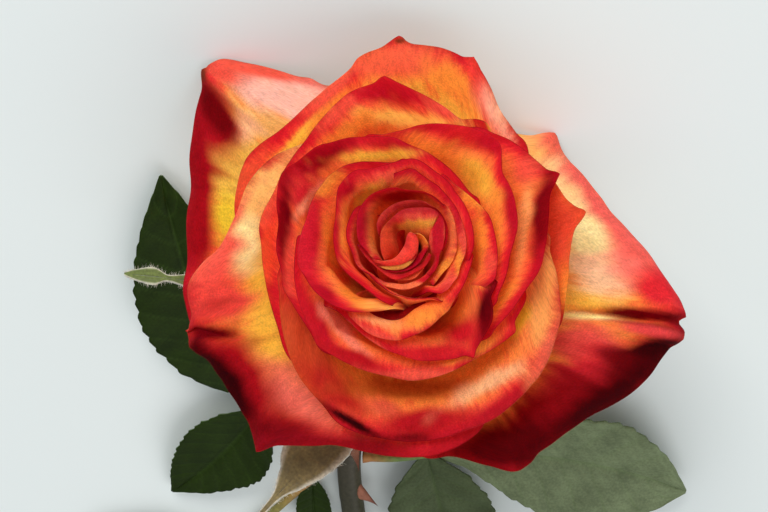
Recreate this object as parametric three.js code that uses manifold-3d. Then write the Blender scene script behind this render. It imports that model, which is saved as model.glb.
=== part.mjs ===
// A cut rose lying on a flat surface. Millimetres, +Z up, the bloom faces -Y and the stem runs to +Y.
// The bloom leans on the corners of its outer petals; the stem comes down from the hip and lies on the surface.
import * as THREE from "three";
import { mergeVertices } from "three/addons/utils/BufferGeometryUtils.js";
import Module from "manifold-3d";

const wasm = await Module();
wasm.setup();

// The whole rose is set over the middle of its own outline, seen from above
const MIDDLE_X = 4.5;
const MIDDLE_Y = 88.8;

// Bloom
const BLOOM_TILT = 37; // degrees, rise of the bloom's axis above the surface
const BASE_HEIGHT = 26.58; // from the surface to the middle of the petals' base
const EYE_HEIGHT = 46; // along the axis, from the petals' base to the eye of the bloom
const RECEPTACLE_RADIUS = 7.2;
const CLAW_START = 7.6; // distance of the petals' lower ends from the middle of the base
const PETAL_THICKNESS = 0.6;
const CLAW_WIDTH = 0.14; // width of a petal at its claw, as a share of its full spread
const FULL_WIDTH_AT = 0.7; // share of a petal's length where it reaches its full spread
const WIDENING = 1.6; // how early a petal widens
const LAYER_STEP = { rim: 2, body: 3 }; // degrees, least angle between two petals that lie over each other
const TURN_STEP = 2; // degrees between the azimuths where the petals are set apart
const WIDE_ROOM = 90; // degrees free outside a petal that no other petal lies over
const MIDDLING_LENGTH = 48; // of a petal, from the middle of the base to its rim
const OPEN_BY = 0.27; // share of a middling petal's length by which a petal has left its claw's lean
const RIM_LEAN = { from: 0.45, to: 0.95 }; // shares of the length between which a petal takes up the lean of its rim
const CUP_BULGE = 0.45; // how much an inner petal bulges below its rim
const FLARE = 0.12; // how much an outer petal hollows and then flares
const STRAIGHT_LEAN = 50; // degrees, the lean at which a petal does neither
const OUTER_CLAW = 65; // degrees, lean of the claw past which a petal is one of the wide outer ones
const ROLL_SEEN = 0.6; // share of a rolled margin's radius that shows outside the rim's crest
const HEART_DISC = { radius: 2.6, from: 7.5, to: 8.7 }; // joins the claws of the furled petals, on the bloom's axis

// The petals' rims are given as seen from in front of the bloom, a little under its axis
const SIGHT_TILT = 15; // degrees between the line of sight and the axis
const SIGHT_DISTANCE = 435; // from the eye of the bloom

// Stem and hip: the stem's middle line comes down from the hip and lies along the surface
const STEM_RADIUS = 3;
const STEM_LIE = 2.75; // height of the middle line where the stem lies, so that its underside is cut to a narrow flat
const STEM_PATH = [
  [0, 11.2, 18], [0.4, 16.5, 14], [3, 26, 8.2], [7.5, 40, 4], [11.6, 54, 2.85], [14.2, 67, STEM_LIE], [13.6, 85, STEM_LIE],
  [10.5, 110, STEM_LIE], [6, 140, STEM_LIE], [3, 172, STEM_LIE], [2, 204, STEM_LIE], [3, 236, STEM_LIE],
];
const HIP_END = -16; // place of the hip's neck on the bloom's axis
const HIP_PROFILE = [[7.4, -2], [7.2, -5], [6.4, -9], [5, -12.5], [3.8, -15], [STEM_RADIUS, HIP_END]]; // radius, place on the bloom's axis
const PRICKLE = { length: 5, foot: 2.6, width: 1.3, slant: 0.5, sunk: 0.4 };
const PRICKLES = [ // share of the stem's length, side of the stem in degrees from straight up
  [0.13, 50], [0.34, -50], [0.43, 20], [0.52, 62], [0.61, -70], [0.7, 35], [0.78, -30], [0.86, 70], [0.94, -55],
];

// Leaves
const BLADE_THICKNESS = 0.7;
const BLADE_LOWEST = 0.4; // height of a blade's middle surface where it lies on the ground
const RACHIS_RADIUS = 1.1;
const TEETH = 4; // on each side of a leaflet
const GAP = 0.3; // between pieces that touch

const rad = THREE.MathUtils.degToRad;
const deg = THREE.MathUtils.radToDeg;
const mix = THREE.MathUtils.lerp;
const clamp = THREE.MathUtils.clamp;

// The bloom's own axes: right and up as seen from in front, and out along the axis
const tilt = rad(BLOOM_TILT);
const RIGHT = new THREE.Vector3(-1, 0, 0);
const UP = new THREE.Vector3(0, -Math.sin(tilt), -Math.cos(tilt));
const OUT = new THREE.Vector3(0, -Math.cos(tilt), Math.sin(tilt));
const BASE = new THREE.Vector3(0, 0, BASE_HEIGHT);

function bloomPoint(x, y, h) {
  return BASE.clone().addScaledVector(RIGHT, x).addScaledVector(UP, y).addScaledVector(OUT, h);
}

// Where a rim point lies at height h if it is seen at this azimuth and distance from the eye of the bloom
function seenAt(azimuth, distance, h) {
  const s = Math.sin(rad(SIGHT_TILT));
  const c = Math.cos(rad(SIGHT_TILT));
  const across = (distance * Math.cos(rad(azimuth))) / SIGHT_DISTANCE;
  const upward = (distance * Math.sin(rad(azimuth))) / SIGHT_DISTANCE;
  const start = { y: -s * SIGHT_DISTANCE, h: EYE_HEIGHT + c * SIGHT_DISTANCE };
  const reach = (start.h - h) / (c - s * upward);
  return { x: across * reach, y: start.y + (s + c * upward) * reach };
}

// Each petal, inner to outer: its rim as [azimuth, distance from the eye, share of the length (1 if not given)],
// counter-clockwise; the rim's height over the base as [azimuth, height]; the angle of its claw from the axis;
// and the radius and turn of its rolled margin
const PETALS = {
  petal_cup_right: {
    claw: 25,
    height: [[290, 46], [360, 46], [440, 46]],
    rim: [[291, 9.4, 0.8], [298, 10.3], [305, 11], [325, 11], [340, 10.4], [358, 11], [387, 11.4], [401, 12], [414, 12.6],
      [426, 13.6], [440, 14.6], [450, 16], [460, 15.6], [470, 16, 0.8]],
  },
  petal_cup_left: {
    claw: 28,
    height: [[140, 46], [220, 47], [300, 46]],
    rim: [[140, 14.2, 0.8], [150, 14], [167, 13.6], [180, 12.6], [194, 11.6], [205, 10.8], [214, 10], [229, 10],
      [246, 10.2], [270, 10], [281, 10.2], [291, 11], [300, 12.6, 0.75]],
  },
  petal_ring_top: {
    claw: 33,
    height: [[350, 46], [450, 47], [500, 47], [600, 46]],
    rim: [[350, 12.2, 0.8], [360, 12.1], [383, 12.9], [397, 13.6], [412, 14.3], [420, 15.2], [433, 16.3],
      [443, 17.6], [450, 18], [462, 17.6], [471, 17.6], [479, 18.2], [485, 19.2], [490, 19.5], [497, 19.4],
      [503, 19], [514, 17.4], [522, 16.6], [540, 15.6], [550, 15], [560, 14], [570, 13], [580, 12.4],
      [598, 12.4], [608, 12.4, 0.8]],
  },
  petal_ring_bottom: {
    claw: 38.5,
    height: [[226, 43], [280, 45], [350, 45]],
    rim: [[226, 19, 0.8], [231, 18.8], [237, 19], [244, 19.3], [258, 19.1], [271, 17.7], [277, 17],
      [287, 15.8], [298, 14.6], [311, 13.2], [322, 12.8], [335, 12.4], [348, 12.2], [354, 12.8, 0.8]],
  },
  petal_ring_left: {
    claw: 36,
    height: [[95, 45], [170, 46], [250, 45]],
    rim: [[95, 18.9, 0.75], [103, 17.6], [114, 19], [121, 20.2], [128, 21.2], [135, 21.8], [143, 22.2],
      [157, 22.4], [165, 22.2], [180, 23], [188, 23.2], [195, 22.4], [203, 21.6], [210, 20.6], [217, 19.5],
      [224, 18.3], [230, 16.9], [238, 15], [248, 13.2], [256, 12.6, 0.8]],
  },
  petal_fold_right: {
    claw: 41,
    height: [[330, 43], [380, 44], [430, 44]],
    rim: [[333, 17.2, 0.85], [339, 17.8], [345, 17.7], [360, 17.2], [372, 16.8], [383, 16.9], [394, 16.2],
      [405, 15.6], [418, 15.6], [428, 16.9, 0.8]],
    roll: [0.8, 70],
  },
  petal_fold_bottom: {
    claw: 44,
    height: [[213, 39], [235, 40], [252, 42], [300, 37], [320, 41], [345, 42]],
    rim: [[213, 21.6, 0.75], [221, 19.6], [230, 19.4], [237, 19.8], [247, 20.4], [257, 21.2], [264, 21.7],
      [271, 22.2], [281, 23], [291, 23.8], [296, 24.1], [299.5, 24.8], [304, 23.8], [310, 22.8], [318, 21.8],
      [324, 20.2], [328, 18.9], [334, 18.6], [340, 18.9, 0.75]],
    roll: [0.8, 80],
  },
  petal_swirl_left: {
    claw: 50.5,
    height: [[36, 43], [100, 44], [150, 43], [200, 39], [230, 34]],
    rim: [[36, 17.4, 0.75], [45, 16.4], [60, 17.4], [71, 18.4], [81, 19.6], [90, 20.6], [99, 22.6],
      [106, 23.4], [113, 24.3], [119, 25.4], [126, 26.4], [133, 27.8], [143, 28.6], [149.5, 30], [154, 29.8],
      [158, 29.2], [163, 28.4], [170, 27.2], [180, 27.2], [190, 26.6], [197, 27], [206, 26.4], [219, 26.3],
      [228, 28, 0.8]],
    roll: [0.8, 80],
  },
  petal_swirl_right: {
    claw: 50.5,
    height: [[327, 41], [400, 43], [472, 42]],
    rim: [[327, 20.7, 0.75], [333, 19.8], [349, 19.8], [358, 20], [366, 20.8], [371, 21.6], [379, 22.4],
      [386, 23], [393, 23.4], [400, 23.8], [405, 25.7], [406.5, 26.5], [409, 27.3], [413, 27.6], [419, 27.4],
      [429, 26.6], [439, 25.6], [447, 24.8], [453, 24.1], [464, 23.6], [472, 25.4, 0.75]],
    roll: [0.8, 70],
  },
  petal_swirl_bottom: {
    claw: 50,
    height: [[170, 41], [225, 40], [270, 37], [321, 34], [336, 36]],
    rim: [[172, 23.6, 0.75], [180, 23.4], [188, 23.9], [200, 24.8], [212, 25.6], [220, 26.2], [225, 27.2],
      [230, 27], [242, 26.6], [259, 26.2], [270, 26.6], [283, 26.2], [299, 25.6], [310, 26], [317, 26.5],
      [321.5, 26.7], [324.5, 25.4], [330, 25.1], [338, 25.6, 0.75]],
    roll: [1, 90],
  },
  petal_wing_right: {
    claw: 53,
    height: [[309, 37], [350, 39], [386, 35], [422, 38]],
    rim: [[311, 24.2, 0.7], [317, 23.3], [325, 23.6], [333, 24], [340, 24.6], [350, 26], [361, 26.9],
      [371, 28], [376, 28.8], [381, 29.9], [386.4, 32.3], [390, 31.4], [395, 30.5], [406, 29.6], [414, 28.4],
      [422, 28.8, 0.75]],
    roll: [1, 80],
  },
  petal_crest: {
    claw: 61,
    height: [[52, 37], [98, 41], [140, 38], [171, 35], [232, 28]],
    rim: [[52, 32, 0.6], [60, 30.6, 0.85], [68.5, 27.8], [76, 29], [84, 30.6], [90, 32], [98.7, 34.3],
      [103, 34], [112, 33.5], [122, 32], [129, 31], [136, 30.2], [150, 29.9], [160, 30], [171, 30.8],
      [180, 30], [190, 30], [200, 30.2], [210, 31], [222, 33.8, 0.85], [232, 36, 0.6]],
    roll: [1, 80],
  },
  petal_front: {
    claw: 58,
    height: [[182, 34], [197, 35], [240, 30], [273, 27], [300, 28], [335, 32], [374, 35]],
    rim: [[183, 28.2, 0.7], [190, 28, 0.85], [197.5, 27.8], [203, 28.6], [210, 30], [222, 32.6], [230, 34.4],
      [240, 36], [247, 38], [255, 38.6], [262, 38.4], [270, 39], [277, 38.7], [286, 38], [294, 38.2],
      [304, 37], [316, 36.2], [326, 34.4], [336, 32.8], [347, 30.2], [358.4, 27.8], [366, 28.8, 0.8],
      [374, 30.2, 0.65]],
    roll: [1.6, 120],
  },
  petal_small_right: {
    claw: 63,
    height: [[322, 26], [341, 30], [371, 32], [390, 31]],
    rim: [[322, 36.6, 0.6], [332, 34.5, 0.8], [341, 32.6], [349, 32], [356, 31.8], [366, 32.8], [371.6, 34.8],
      [374, 34], [378, 32.6], [384, 31.8], [390, 32.4, 0.75]],
    roll: [1, 60],
  },
  petal_top: {
    claw: 69,
    height: [[36, 30], [72, 36], [93, 36], [116, 35], [140, 29], [165, 24], [190, 21]],
    rim: [[36, 33.4, 0.6], [42, 32.4, 0.8], [48, 31.4], [57, 33], [64, 36.2], [69, 38.6], [71.7, 40],
      [75, 39.8], [81, 40.6], [90, 40.9], [93.2, 42], [99, 40.6], [105, 39.8], [109, 37.8], [116, 36.4],
      [126, 35.4], [137, 35.2], [148.6, 37], [154, 37.2], [166, 36.4], [175, 35.6, 0.85], [185, 35.4, 0.6]],
    roll: [1.4, 90],
  },
  petal_lower_left: {
    claw: 66,
    height: [[125, 35], [140, 34], [165, 31], [180, 28], [199, 20], [232, 17], [252, 22], [277, 24], [300, 24]],
    rim: [[127, 29.5, 0.7], [137, 30.4], [148, 33.6], [158, 35], [169, 35.7], [179, 38], [184, 41.6], [190, 45],
      [197, 45.8], [199.5, 48.2], [203, 48], [208, 46.2], [219, 46], [226, 47.6], [231.9, 50.6], [235.4, 47.6],
      [244, 44], [252, 41.8], [270, 41.8], [277, 41.6], [288, 40.8, 0.85], [298, 40, 0.6]],
    roll: [1.4, 60],
  },
  petal_right: {
    claw: 72,
    height: [[262, 13], [300, 13], [345, 14], [380, 9.3], [398, 6], [408, 6.7], [428, 12]],
    rim: [[264, 43.4, 0.65], [272, 43, 0.85], [278.4, 42.2], [284, 43.8], [290, 47.1], [295, 49.2], [299, 49.2],
      [303, 48.2], [311, 47.6], [318, 49], [326, 52.2], [333, 54.2], [339, 55.4], [341.9, 57], [345.4, 56.2],
      [350, 53.8], [357, 48.2], [367, 41.5], [375, 39], [386, 36.6], [390, 36.2], [398, 36.9], [404, 32.4],
      [412, 31, 0.85], [424, 31, 0.6]],
    roll: [1.4, 60],
  },
  petal_upper_left: {
    claw: 79,
    height: [[100, 24], [116, 23], [139, 21.6], [192, 15], [212, 13]],
    rim: [[102, 36, 0.7], [116, 36.8], [124, 42], [131, 48.6], [135, 53.6], [139.3, 55.2], [142.3, 53.2],
      [147, 51.8], [153, 49.8], [161, 47], [171, 45.2], [183, 44.8], [192, 46.4], [202, 48, 0.85],
      [212, 48, 0.6]],
    roll: [1.4, 60],
  },
};

// The heart's furled petals, whose rims wind round the eye
const HEART = {
  eye_tongue: {
    claw: 7,
    height: [[90, 47], [230, 46], [300, 45]],
    rim: [[92, 11.6, 0.85], [120, 12], [140, 13], [150, 12.8], [161, 11.8], [172, 10.8], [183, 10], [192, 8.4],
      [203, 6.6], [213, 4.8], [228, 2.6], [262, 1.4]],
  },
  eye_inner: {
    claw: 11,
    height: [[225, 46], [300, 46], [400, 46]],
    rim: [[222, 5.4], [245, 5.4], [265, 5.3], [290, 5.6], [320, 5.4], [340, 4.8], [360, 4.2], [380, 3.8],
      [400, 3.2], [425, 2]],
  },
  eye_left: {
    claw: 15,
    height: [[320, 46], [440, 47], [560, 46]],
    rim: [[320, 6.9, 0.9], [330, 6.8], [360, 6.9], [380, 7.3], [408, 8.4], [422, 9], [435, 8.6], [450, 8.2],
      [465, 7.8], [485, 7.2], [502, 7], [520, 6.8], [543, 6.6], [558, 6.4], [575, 6.8], [600, 7.4], [625, 7.6],
      [640, 7.2, 0.9]],
  },
  eye_right: {
    claw: 19,
    height: [[296, 46], [360, 46], [430, 46]],
    rim: [[290, 8.8, 0.8], [309, 8.7], [328, 8.3], [343, 8.4], [357, 8.6], [372, 9], [391, 10], [404, 10.4],
      [420, 10.8], [430, 11.2, 0.8]],
  },
};

// Sepals: the azimuth of each, the places of its midline as [distance from the axis, place along the axis],
// and its half width at each place
const SEPALS = {
  sepal_left: {
    azimuth: 174, bend: 0,
    midline: [[7.8, -1.6], [16, -2.4], [28, -2.2], [40, -1.2], [49, -0.4], [53.5, 0], [56.5, 0.6], [60, 0.4], [63.4, 0]],
    half: [3.5, 5.6, 4.6, 2.8, 1.6, 0.7, 1.9, 1.5, 0.3],
  },
  sepal_lower: {
    azimuth: 235, bend: 1.5,
    midline: [[7.8, -1.6], [15, -2.6], [24, -2.6], [33, -1.6], [41, -0.8], [47, -0.3], [51.5, 0], [56, 0], [61, -0.8]],
    half: [3.5, 5.6, 7, 7.2, 6.6, 4.4, 1.2, 0.7, 0.35],
  },
  sepal_back_right: {
    azimuth: 290, bend: -1,
    midline: [[7.8, -1.6], [12, -2.4], [17, -3], [22.5, -3.2], [27, -3.2], [30.5, -3.2], [33.5, -3.4]],
    half: [3.5, 5.4, 5.2, 4.2, 2.8, 1.4, 0.35],
  },
  sepal_right: {
    azimuth: 18, bend: 1,
    midline: [[7.8, -1.6], [12, -3], [17, -5], [22, -7.4], [26, -9.8], [29, -12.4]],
    half: [3.5, 5.2, 4.6, 3.2, 1.7, 0.35],
  },
  sepal_under: {
    azimuth: 97, bend: 0,
    midline: [[7.8, -1.6], [11.5, -2.4], [15.5, -3], [19, -3], [22, -2.4], [24.5, -1.4]],
    half: [3.5, 5, 4.4, 3, 1.6, 0.35],
  },
};

// Compound leaves: the middle line of each one's petiole and rachis, and its leaflets, each from its foot to its tip,
// with its half width, the sideways bow of its midrib, the roll of its blade in degrees, and how blunt its end is
const LEAVES = {
  leaf_left: {
    rachis: [[14, 50, 4.6], [24, 50, 6.4], [34, 52, 5.6], [42, 45.4, 4.6]],
    leaflets: [
      { from: [42, 45.4, 4.6], to: [55.6, -17.5, 3], width: 14, bow: 1.5, roll: 0, rise: 1 },
      { from: [36, 51.2, 5.3], to: [59, 81, 2.4], width: 11.8, bow: 1.4, roll: 0, rise: 0.6 },
      { from: [35, 52, 5.5], to: [20, 12, 2.6], width: 11, bow: -3, roll: 0, rise: 0 },
    ],
  },
  leaf_right: {
    rachis: [[10.8, 67.5, 4.3], [3, 67, 5], [-6.8, 66, 4.4]],
    leaflets: [
      { from: [-6.8, 66, 4.4], to: [-70, 78.6, 5], width: 19, bow: 6, roll: 3, rise: 1.5, blunt: 1.6 },
      { from: [-5, 66.2, 4.6], to: [-15, 116, 2.6], width: 14, bow: 0, roll: 0, rise: 1.4 },
      { from: [-5, 66, 4.6], to: [-20, 22, 3], width: 11, bow: 3, roll: 0, rise: 0.6 },
    ],
  },
  leaf_lower_left: {
    rachis: [[18.3, 70.6, 3.4], [25, 78, 2.6], [33, 87.5, 2.2], [48, 106, 2], [62, 128, 2], [68, 141, 2]],
    leaflets: [
      { from: [23.4, 76.2, 2.8], to: [22, 101, 1.6], width: 4.6, bow: -0.6, roll: 0, rise: 0.4 },
      { from: [47, 105, 2], to: [83, 96.5, 2.4], width: 11, bow: 1.5, roll: 0, rise: 1.6 },
      { from: [47, 105, 2], to: [30, 138, 2], width: 10.5, bow: -1, roll: 0, rise: 1.6 },
      { from: [62, 128, 2], to: [97, 134, 2.4], width: 10.5, bow: 1, roll: 0, rise: 1.6 },
      { from: [62, 128, 2], to: [42, 160, 2], width: 10, bow: -1, roll: 0, rise: 1.6 },
      { from: [68, 141, 2], to: [84, 186, 2.6], width: 13, bow: 1, roll: 0, rise: 2 },
    ],
  },
  leaf_lower_right: {
    rachis: [[3.5, 133.5, 3], [-4, 131, 3], [-14, 126, 2.6], [-30, 122.5, 2.2], [-44, 124, 2.2]],
    leaflets: [
      { from: [-28, 123, 2.2], to: [-50, 96, 2], width: 10.5, bow: 1, roll: 0, rise: 1.2 },
      { from: [-28, 123, 2.2], to: [-37, 160, 2], width: 11, bow: -1, roll: 0, rise: 1.6 },
      { from: [-44, 124, 2.2], to: [-88, 130, 2.6], width: 13, bow: 1, roll: 0, rise: 2 },
    ],
  },
};

// Half width of a leaflet along its midrib, as a share of the widest
const LEAFLET_OUTLINE = [[0, 0.1], [0.06, 0.36], [0.15, 0.68], [0.28, 0.92], [0.42, 1], [0.56, 0.93], [0.7, 0.74], [0.84, 0.45],
  [0.94, 0.18], [1, 0.03]];
const NOTCH = 0.88; // half width in the notch between two teeth, as a share of that at the teeth
const TOOTH_LEAN = 0.35; // how far a tooth points on, as a share of the distance between teeth
const LEAFLET_FOLD = 0.16; // rise of a leaflet's margins over its midrib, as a share of the half width
const SEPAL_HOLLOW = 0.22; // depth of a sepal's hollow, as a share of its half width
const ACROSS = [-1, -0.5, 0, 0.5, 1]; // lines of points across a leaflet or a sepal, as shares of its half width
const ROLL_FROM = 1; // mm, the least radius of a margin that the solids roll

// A value between the [key, value] pairs on either side of x
function along(pairs, x) {
  const next = pairs.findIndex(([key]) => key >= x);
  if (next === 0) return pairs[0][1];
  if (next < 0) return pairs[pairs.length - 1][1];
  const [x0, y0] = pairs[next - 1];
  const [x1, y1] = pairs[next];
  return mix(y0, y1, (x - x0) / (x1 - x0));
}

// How far up a petal a point is, where 1 is the length of a middling petal
function rise(distance) {
  return (distance - CLAW_START) / (MIDDLING_LENGTH - CLAW_START);
}

// Inner petals bulge like a cup below their rim, and outer ones hollow a little and then flare
function bulge(lean, distance) {
  const amount = clamp(CUP_BULGE * (1 - lean / STRAIGHT_LEAN), -FLARE, CUP_BULGE);
  return 1 + amount * Math.sin(Math.PI * rise(distance));
}

// The rim in the bloom's own polar form: azimuth, lean from the axis, and length from the middle of the base
function polarRim({ rim, height, roll = [0, 0] }) {
  let last = null;
  return rim.map(([azimuth, distance, share = 1]) => {
    const h = along(height, azimuth);
    const { x, y } = seenAt(azimuth, distance - ROLL_SEEN * roll[0], h);
    let turn = deg(Math.atan2(y, x));
    const near = last === null ? azimuth : last;
    while (turn < near - 180) turn += 360;
    last = turn;
    const spread = Math.hypot(x, y);
    const lean = deg(Math.atan2(spread, h));
    const length = Math.hypot(spread, h);
    return { turn, lean: lean / bulge(lean, length), length: length * share };
  });
}

// Points along a smooth curve through the rim, which keeps each given point
function fineRim(points, perSpan) {
  const fine = [];
  for (let i = 0; i < points.length - 1; i++) {
    const a = points[Math.max(i - 1, 0)];
    const b = points[i];
    const c = points[i + 1];
    const d = points[Math.min(i + 2, points.length - 1)];
    for (let k = 0; k < perSpan; k++) {
      const t = k / perSpan;
      const at = (key) => 0.5 * (2 * b[key] + (c[key] - a[key]) * t
        + (2 * a[key] - 5 * b[key] + 4 * c[key] - d[key]) * t * t
        + (3 * b[key] - a[key] - 3 * c[key] + d[key]) * t * t * t);
      fine.push({ turn: at("turn"), lean: at("lean"), length: at("length") });
    }
  }
  fine.push(points[points.length - 1]);
  return fine;
}

// One petal as a layer of the bloom: its rim, and how it leans at each azimuth
class Layer {
  constructor(name, spec) {
    this.name = name;
    this.spec = spec;
    this.rim = polarRim(spec);
    this.fine = fineRim(this.rim, 4);
    this.first = this.rim[0].turn;
    this.last = this.rim[this.rim.length - 1].turn;
    this.shift = { rim: new Array(360 / TURN_STEP).fill(0), body: new Array(360 / TURN_STEP).fill(0) };
    this.room = new Array(360 / TURN_STEP).fill(WIDE_ROOM);
  }

  // The azimuth with full turns taken off or added, so that it falls in or just past this petal's spread, or null
  inside(turn) {
    const full = Math.ceil((this.first - TURN_STEP - turn) / 360) * 360;
    return turn + full <= this.last + TURN_STEP ? turn + full : null;
  }

  tableAt(table, turn) {
    const place = ((turn % 360) + 360) % 360 / TURN_STEP;
    const low = Math.floor(place) % table.length;
    return mix(table[low], table[(low + 1) % table.length], place - Math.floor(place));
  }

  tracedLean(turn) {
    const t = clamp(turn, this.first, this.last);
    const next = Math.max(1, this.fine.findIndex((point) => point.turn >= t));
    const [a, b] = [this.fine[next - 1], this.fine[next]];
    const share = clamp((t - a.turn) / Math.max(b.turn - a.turn, 1e-6), 0, 1);
    return mix(a.lean, b.lean, share);
  }

  // The lean at the rim, or of the body below it, which doesn't follow the rim's corners
  lean(turn, part) {
    const offsets = part === "rim" ? [0] : [-16, -8, 0, 8, 16];
    const traced = offsets.reduce((sum, offset) => sum + this.tracedLean(turn + offset), 0) / offsets.length;
    return traced + this.tableAt(this.shift[part], turn);
  }
}

// Every two petals that share some azimuths, as [inner, outer, the shared places in the shift tables]
function overlyingPairs(layers) {
  const pairs = [];
  layers.forEach((one, i) => layers.slice(i + 1).forEach((other) => {
    const shared = one.room.map((_, bin) => bin)
      .filter((bin) => one.inside(bin * TURN_STEP) !== null && other.inside(bin * TURN_STEP) !== null);
    if (!shared.length) return;
    const apart = shared.reduce((sum, bin) => sum + other.tracedLean(other.inside(bin * TURN_STEP))
      - one.tracedLean(one.inside(bin * TURN_STEP)), 0);
    pairs.push(apart > 0 ? [one, other, shared] : [other, one, shared]);
  }));
  return pairs;
}

// Petals press each other apart: at each azimuth no two lie closer than the layer step
function spreadLayers(layers, part) {
  const pairs = overlyingPairs(layers);
  for (let pass = 0; pass < 60; pass++) {
    layers.forEach((layer) => layer.room.fill(WIDE_ROOM));
    for (const [inner, outer, shared] of pairs) {
      for (const bin of shared) {
        const between = outer.lean(outer.inside(bin * TURN_STEP), part) - inner.lean(inner.inside(bin * TURN_STEP), part);
        const lack = LAYER_STEP[part] - between;
        if (lack > 0) {
          inner.shift[part][bin] -= lack / 2;
          outer.shift[part][bin] += lack / 2;
        }
        inner.room[bin] = Math.min(inner.room[bin], between);
      }
    }
    if (pass === 4) layers.forEach((layer) => smoothShift(layer, part));
  }
}

function smoothShift(layer, part) {
  const shift = layer.shift[part];
  const n = shift.length;
  layer.shift[part] = shift.map((here, i) => (shift[(i + n - 1) % n] + 2 * here + shift[(i + 1) % n]) / 4);
}

// A point of a petal's middle surface, from its azimuth and its distance from the middle of the base
function petalPoint(layer, turn, distance) {
  const up = rise(distance);
  const rimward = THREE.MathUtils.smoothstep(up, RIM_LEAN.from, RIM_LEAN.to);
  const own = mix(layer.lean(turn, "body"), layer.lean(turn, "rim"), rimward);
  const open = THREE.MathUtils.smoothstep(up, 0, OPEN_BY);
  const lean = mix(layer.spec.claw, own * bulge(own, distance), open);
  return { lean, spread: distance * Math.sin(rad(lean)), h: distance * Math.cos(rad(lean)) };
}

function place(turn, spread, h) {
  return bloomPoint(spread * Math.cos(rad(turn)), spread * Math.sin(rad(turn)), h);
}

// The middle surface of a petal as rows of points from claw to rim, with its margin rolled outward at the end
function petalGrid(layer, rows, rollRows) {
  const middle = (layer.first + layer.last) / 2;
  const [rollRadius, rollTurn] = layer.spec.roll || [0, 0];
  return layer.rim.map((end) => {
    const column = [];
    for (let row = 0; row <= rows; row++) {
      const distance = mix(CLAW_START, end.length, row / rows);
      const narrow = (1 - clamp(rise(distance) / FULL_WIDTH_AT, 0, 1)) ** WIDENING;
      const turn = middle + (end.turn - middle) * mix(1, CLAW_WIDTH, narrow);
      const { spread, h } = petalPoint(layer, turn, distance);
      column.push({ turn, spread, h });
    }
    const top = column[rows];
    const below = petalPoint(layer, top.turn, end.length - 1);
    const heading = Math.atan2(top.spread - below.spread, top.h - below.h);
    const room = rad(layer.tableAt(layer.room, top.turn)) * end.length;
    const free = clamp((room - PETAL_THICKNESS - 2 * GAP) / (2 * rollRadius + GAP), 0, 1);
    for (let k = 1; k <= rollRows; k++) {
      const bent = rad(rollTurn * free) * (k / rollRows);
      const radius = Math.max(rollRadius, 0.1);
      column.push({
        turn: top.turn,
        spread: top.spread + radius * (Math.cos(heading) - Math.cos(heading + bent)),
        h: top.h + radius * (Math.sin(heading + bent) - Math.sin(heading)),
      });
    }
    return column.map(({ turn, spread, h }) => place(turn, spread, h));
  });
}

// A closed blade of even thickness round a grid of middle points, split alike on both faces
function bladeGeometry(grid, thickness) {
  const [m, n] = [grid.length, grid[0].length];
  const at = (i, j) => grid[clamp(i, 0, m - 1)][clamp(j, 0, n - 1)];
  const positions = [];
  const index = [];
  const id = (i, j, side) => (side * m + i) * n + j;
  for (const side of [0, 1]) {
    for (let i = 0; i < m; i++) {
      for (let j = 0; j < n; j++) {
        const across = at(i + 1, j).clone().sub(at(i - 1, j));
        const upward = at(i, j + 1).clone().sub(at(i, j - 1));
        const normal = across.cross(upward).normalize();
        const point = at(i, j).clone().addScaledVector(normal, (side ? 0.5 : -0.5) * thickness);
        positions.push(point.x, point.y, point.z);
      }
    }
  }
  const quad = (a, b, c, d) => index.push(a, b, c, a, c, d);
  for (let i = 0; i + 1 < m; i++) {
    for (let j = 0; j + 1 < n; j++) {
      quad(id(i, j, 1), id(i + 1, j, 1), id(i + 1, j + 1, 1), id(i, j + 1, 1));
      index.push(id(i, j, 0), id(i + 1, j + 1, 0), id(i + 1, j, 0));
      index.push(id(i, j, 0), id(i, j + 1, 0), id(i + 1, j + 1, 0));
    }
    quad(id(i, 0, 0), id(i + 1, 0, 0), id(i + 1, 0, 1), id(i, 0, 1));
    quad(id(i + 1, n - 1, 0), id(i, n - 1, 0), id(i, n - 1, 1), id(i + 1, n - 1, 1));
  }
  for (let j = 0; j + 1 < n; j++) {
    quad(id(0, j + 1, 0), id(0, j, 0), id(0, j, 1), id(0, j + 1, 1));
    quad(id(m - 1, j, 0), id(m - 1, j + 1, 0), id(m - 1, j + 1, 1), id(m - 1, j, 1));
  }
  return new THREE.BufferGeometry()
    .setAttribute("position", new THREE.BufferAttribute(new Float32Array(positions), 3))
    .setIndex(index);
}

// Solids, for joining and cutting
function solid(geometry) {
  const bare = geometry.clone();
  bare.deleteAttribute("normal");
  bare.deleteAttribute("uv");
  const merged = mergeVertices(bare, 1e-4);
  const made = new wasm.Manifold(new wasm.Mesh({
    numProp: 3,
    vertProperties: merged.attributes.position.array,
    triVerts: new Uint32Array(merged.index.array),
  }));
  if (made.volume() > 0) return made;
  const flipped = merged.index.array.slice();
  for (let i = 0; i < flipped.length; i += 3) [flipped[i], flipped[i + 1]] = [flipped[i + 1], flipped[i]];
  return new wasm.Manifold(new wasm.Mesh({
    numProp: 3,
    vertProperties: merged.attributes.position.array,
    triVerts: new Uint32Array(flipped),
  }));
}

function geometryOf(made) {
  const mesh = made.getMesh();
  return new THREE.BufferGeometry()
    .setAttribute("position", new THREE.BufferAttribute(new Float32Array(mesh.vertProperties), 3))
    .setIndex(new THREE.BufferAttribute(new Uint32Array(mesh.triVerts), 1));
}

const joined = (solids) => solids.reduce((all, next) => all.add(next));

const vector = ([x, y, z]) => new THREE.Vector3(x, y, z);

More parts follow.
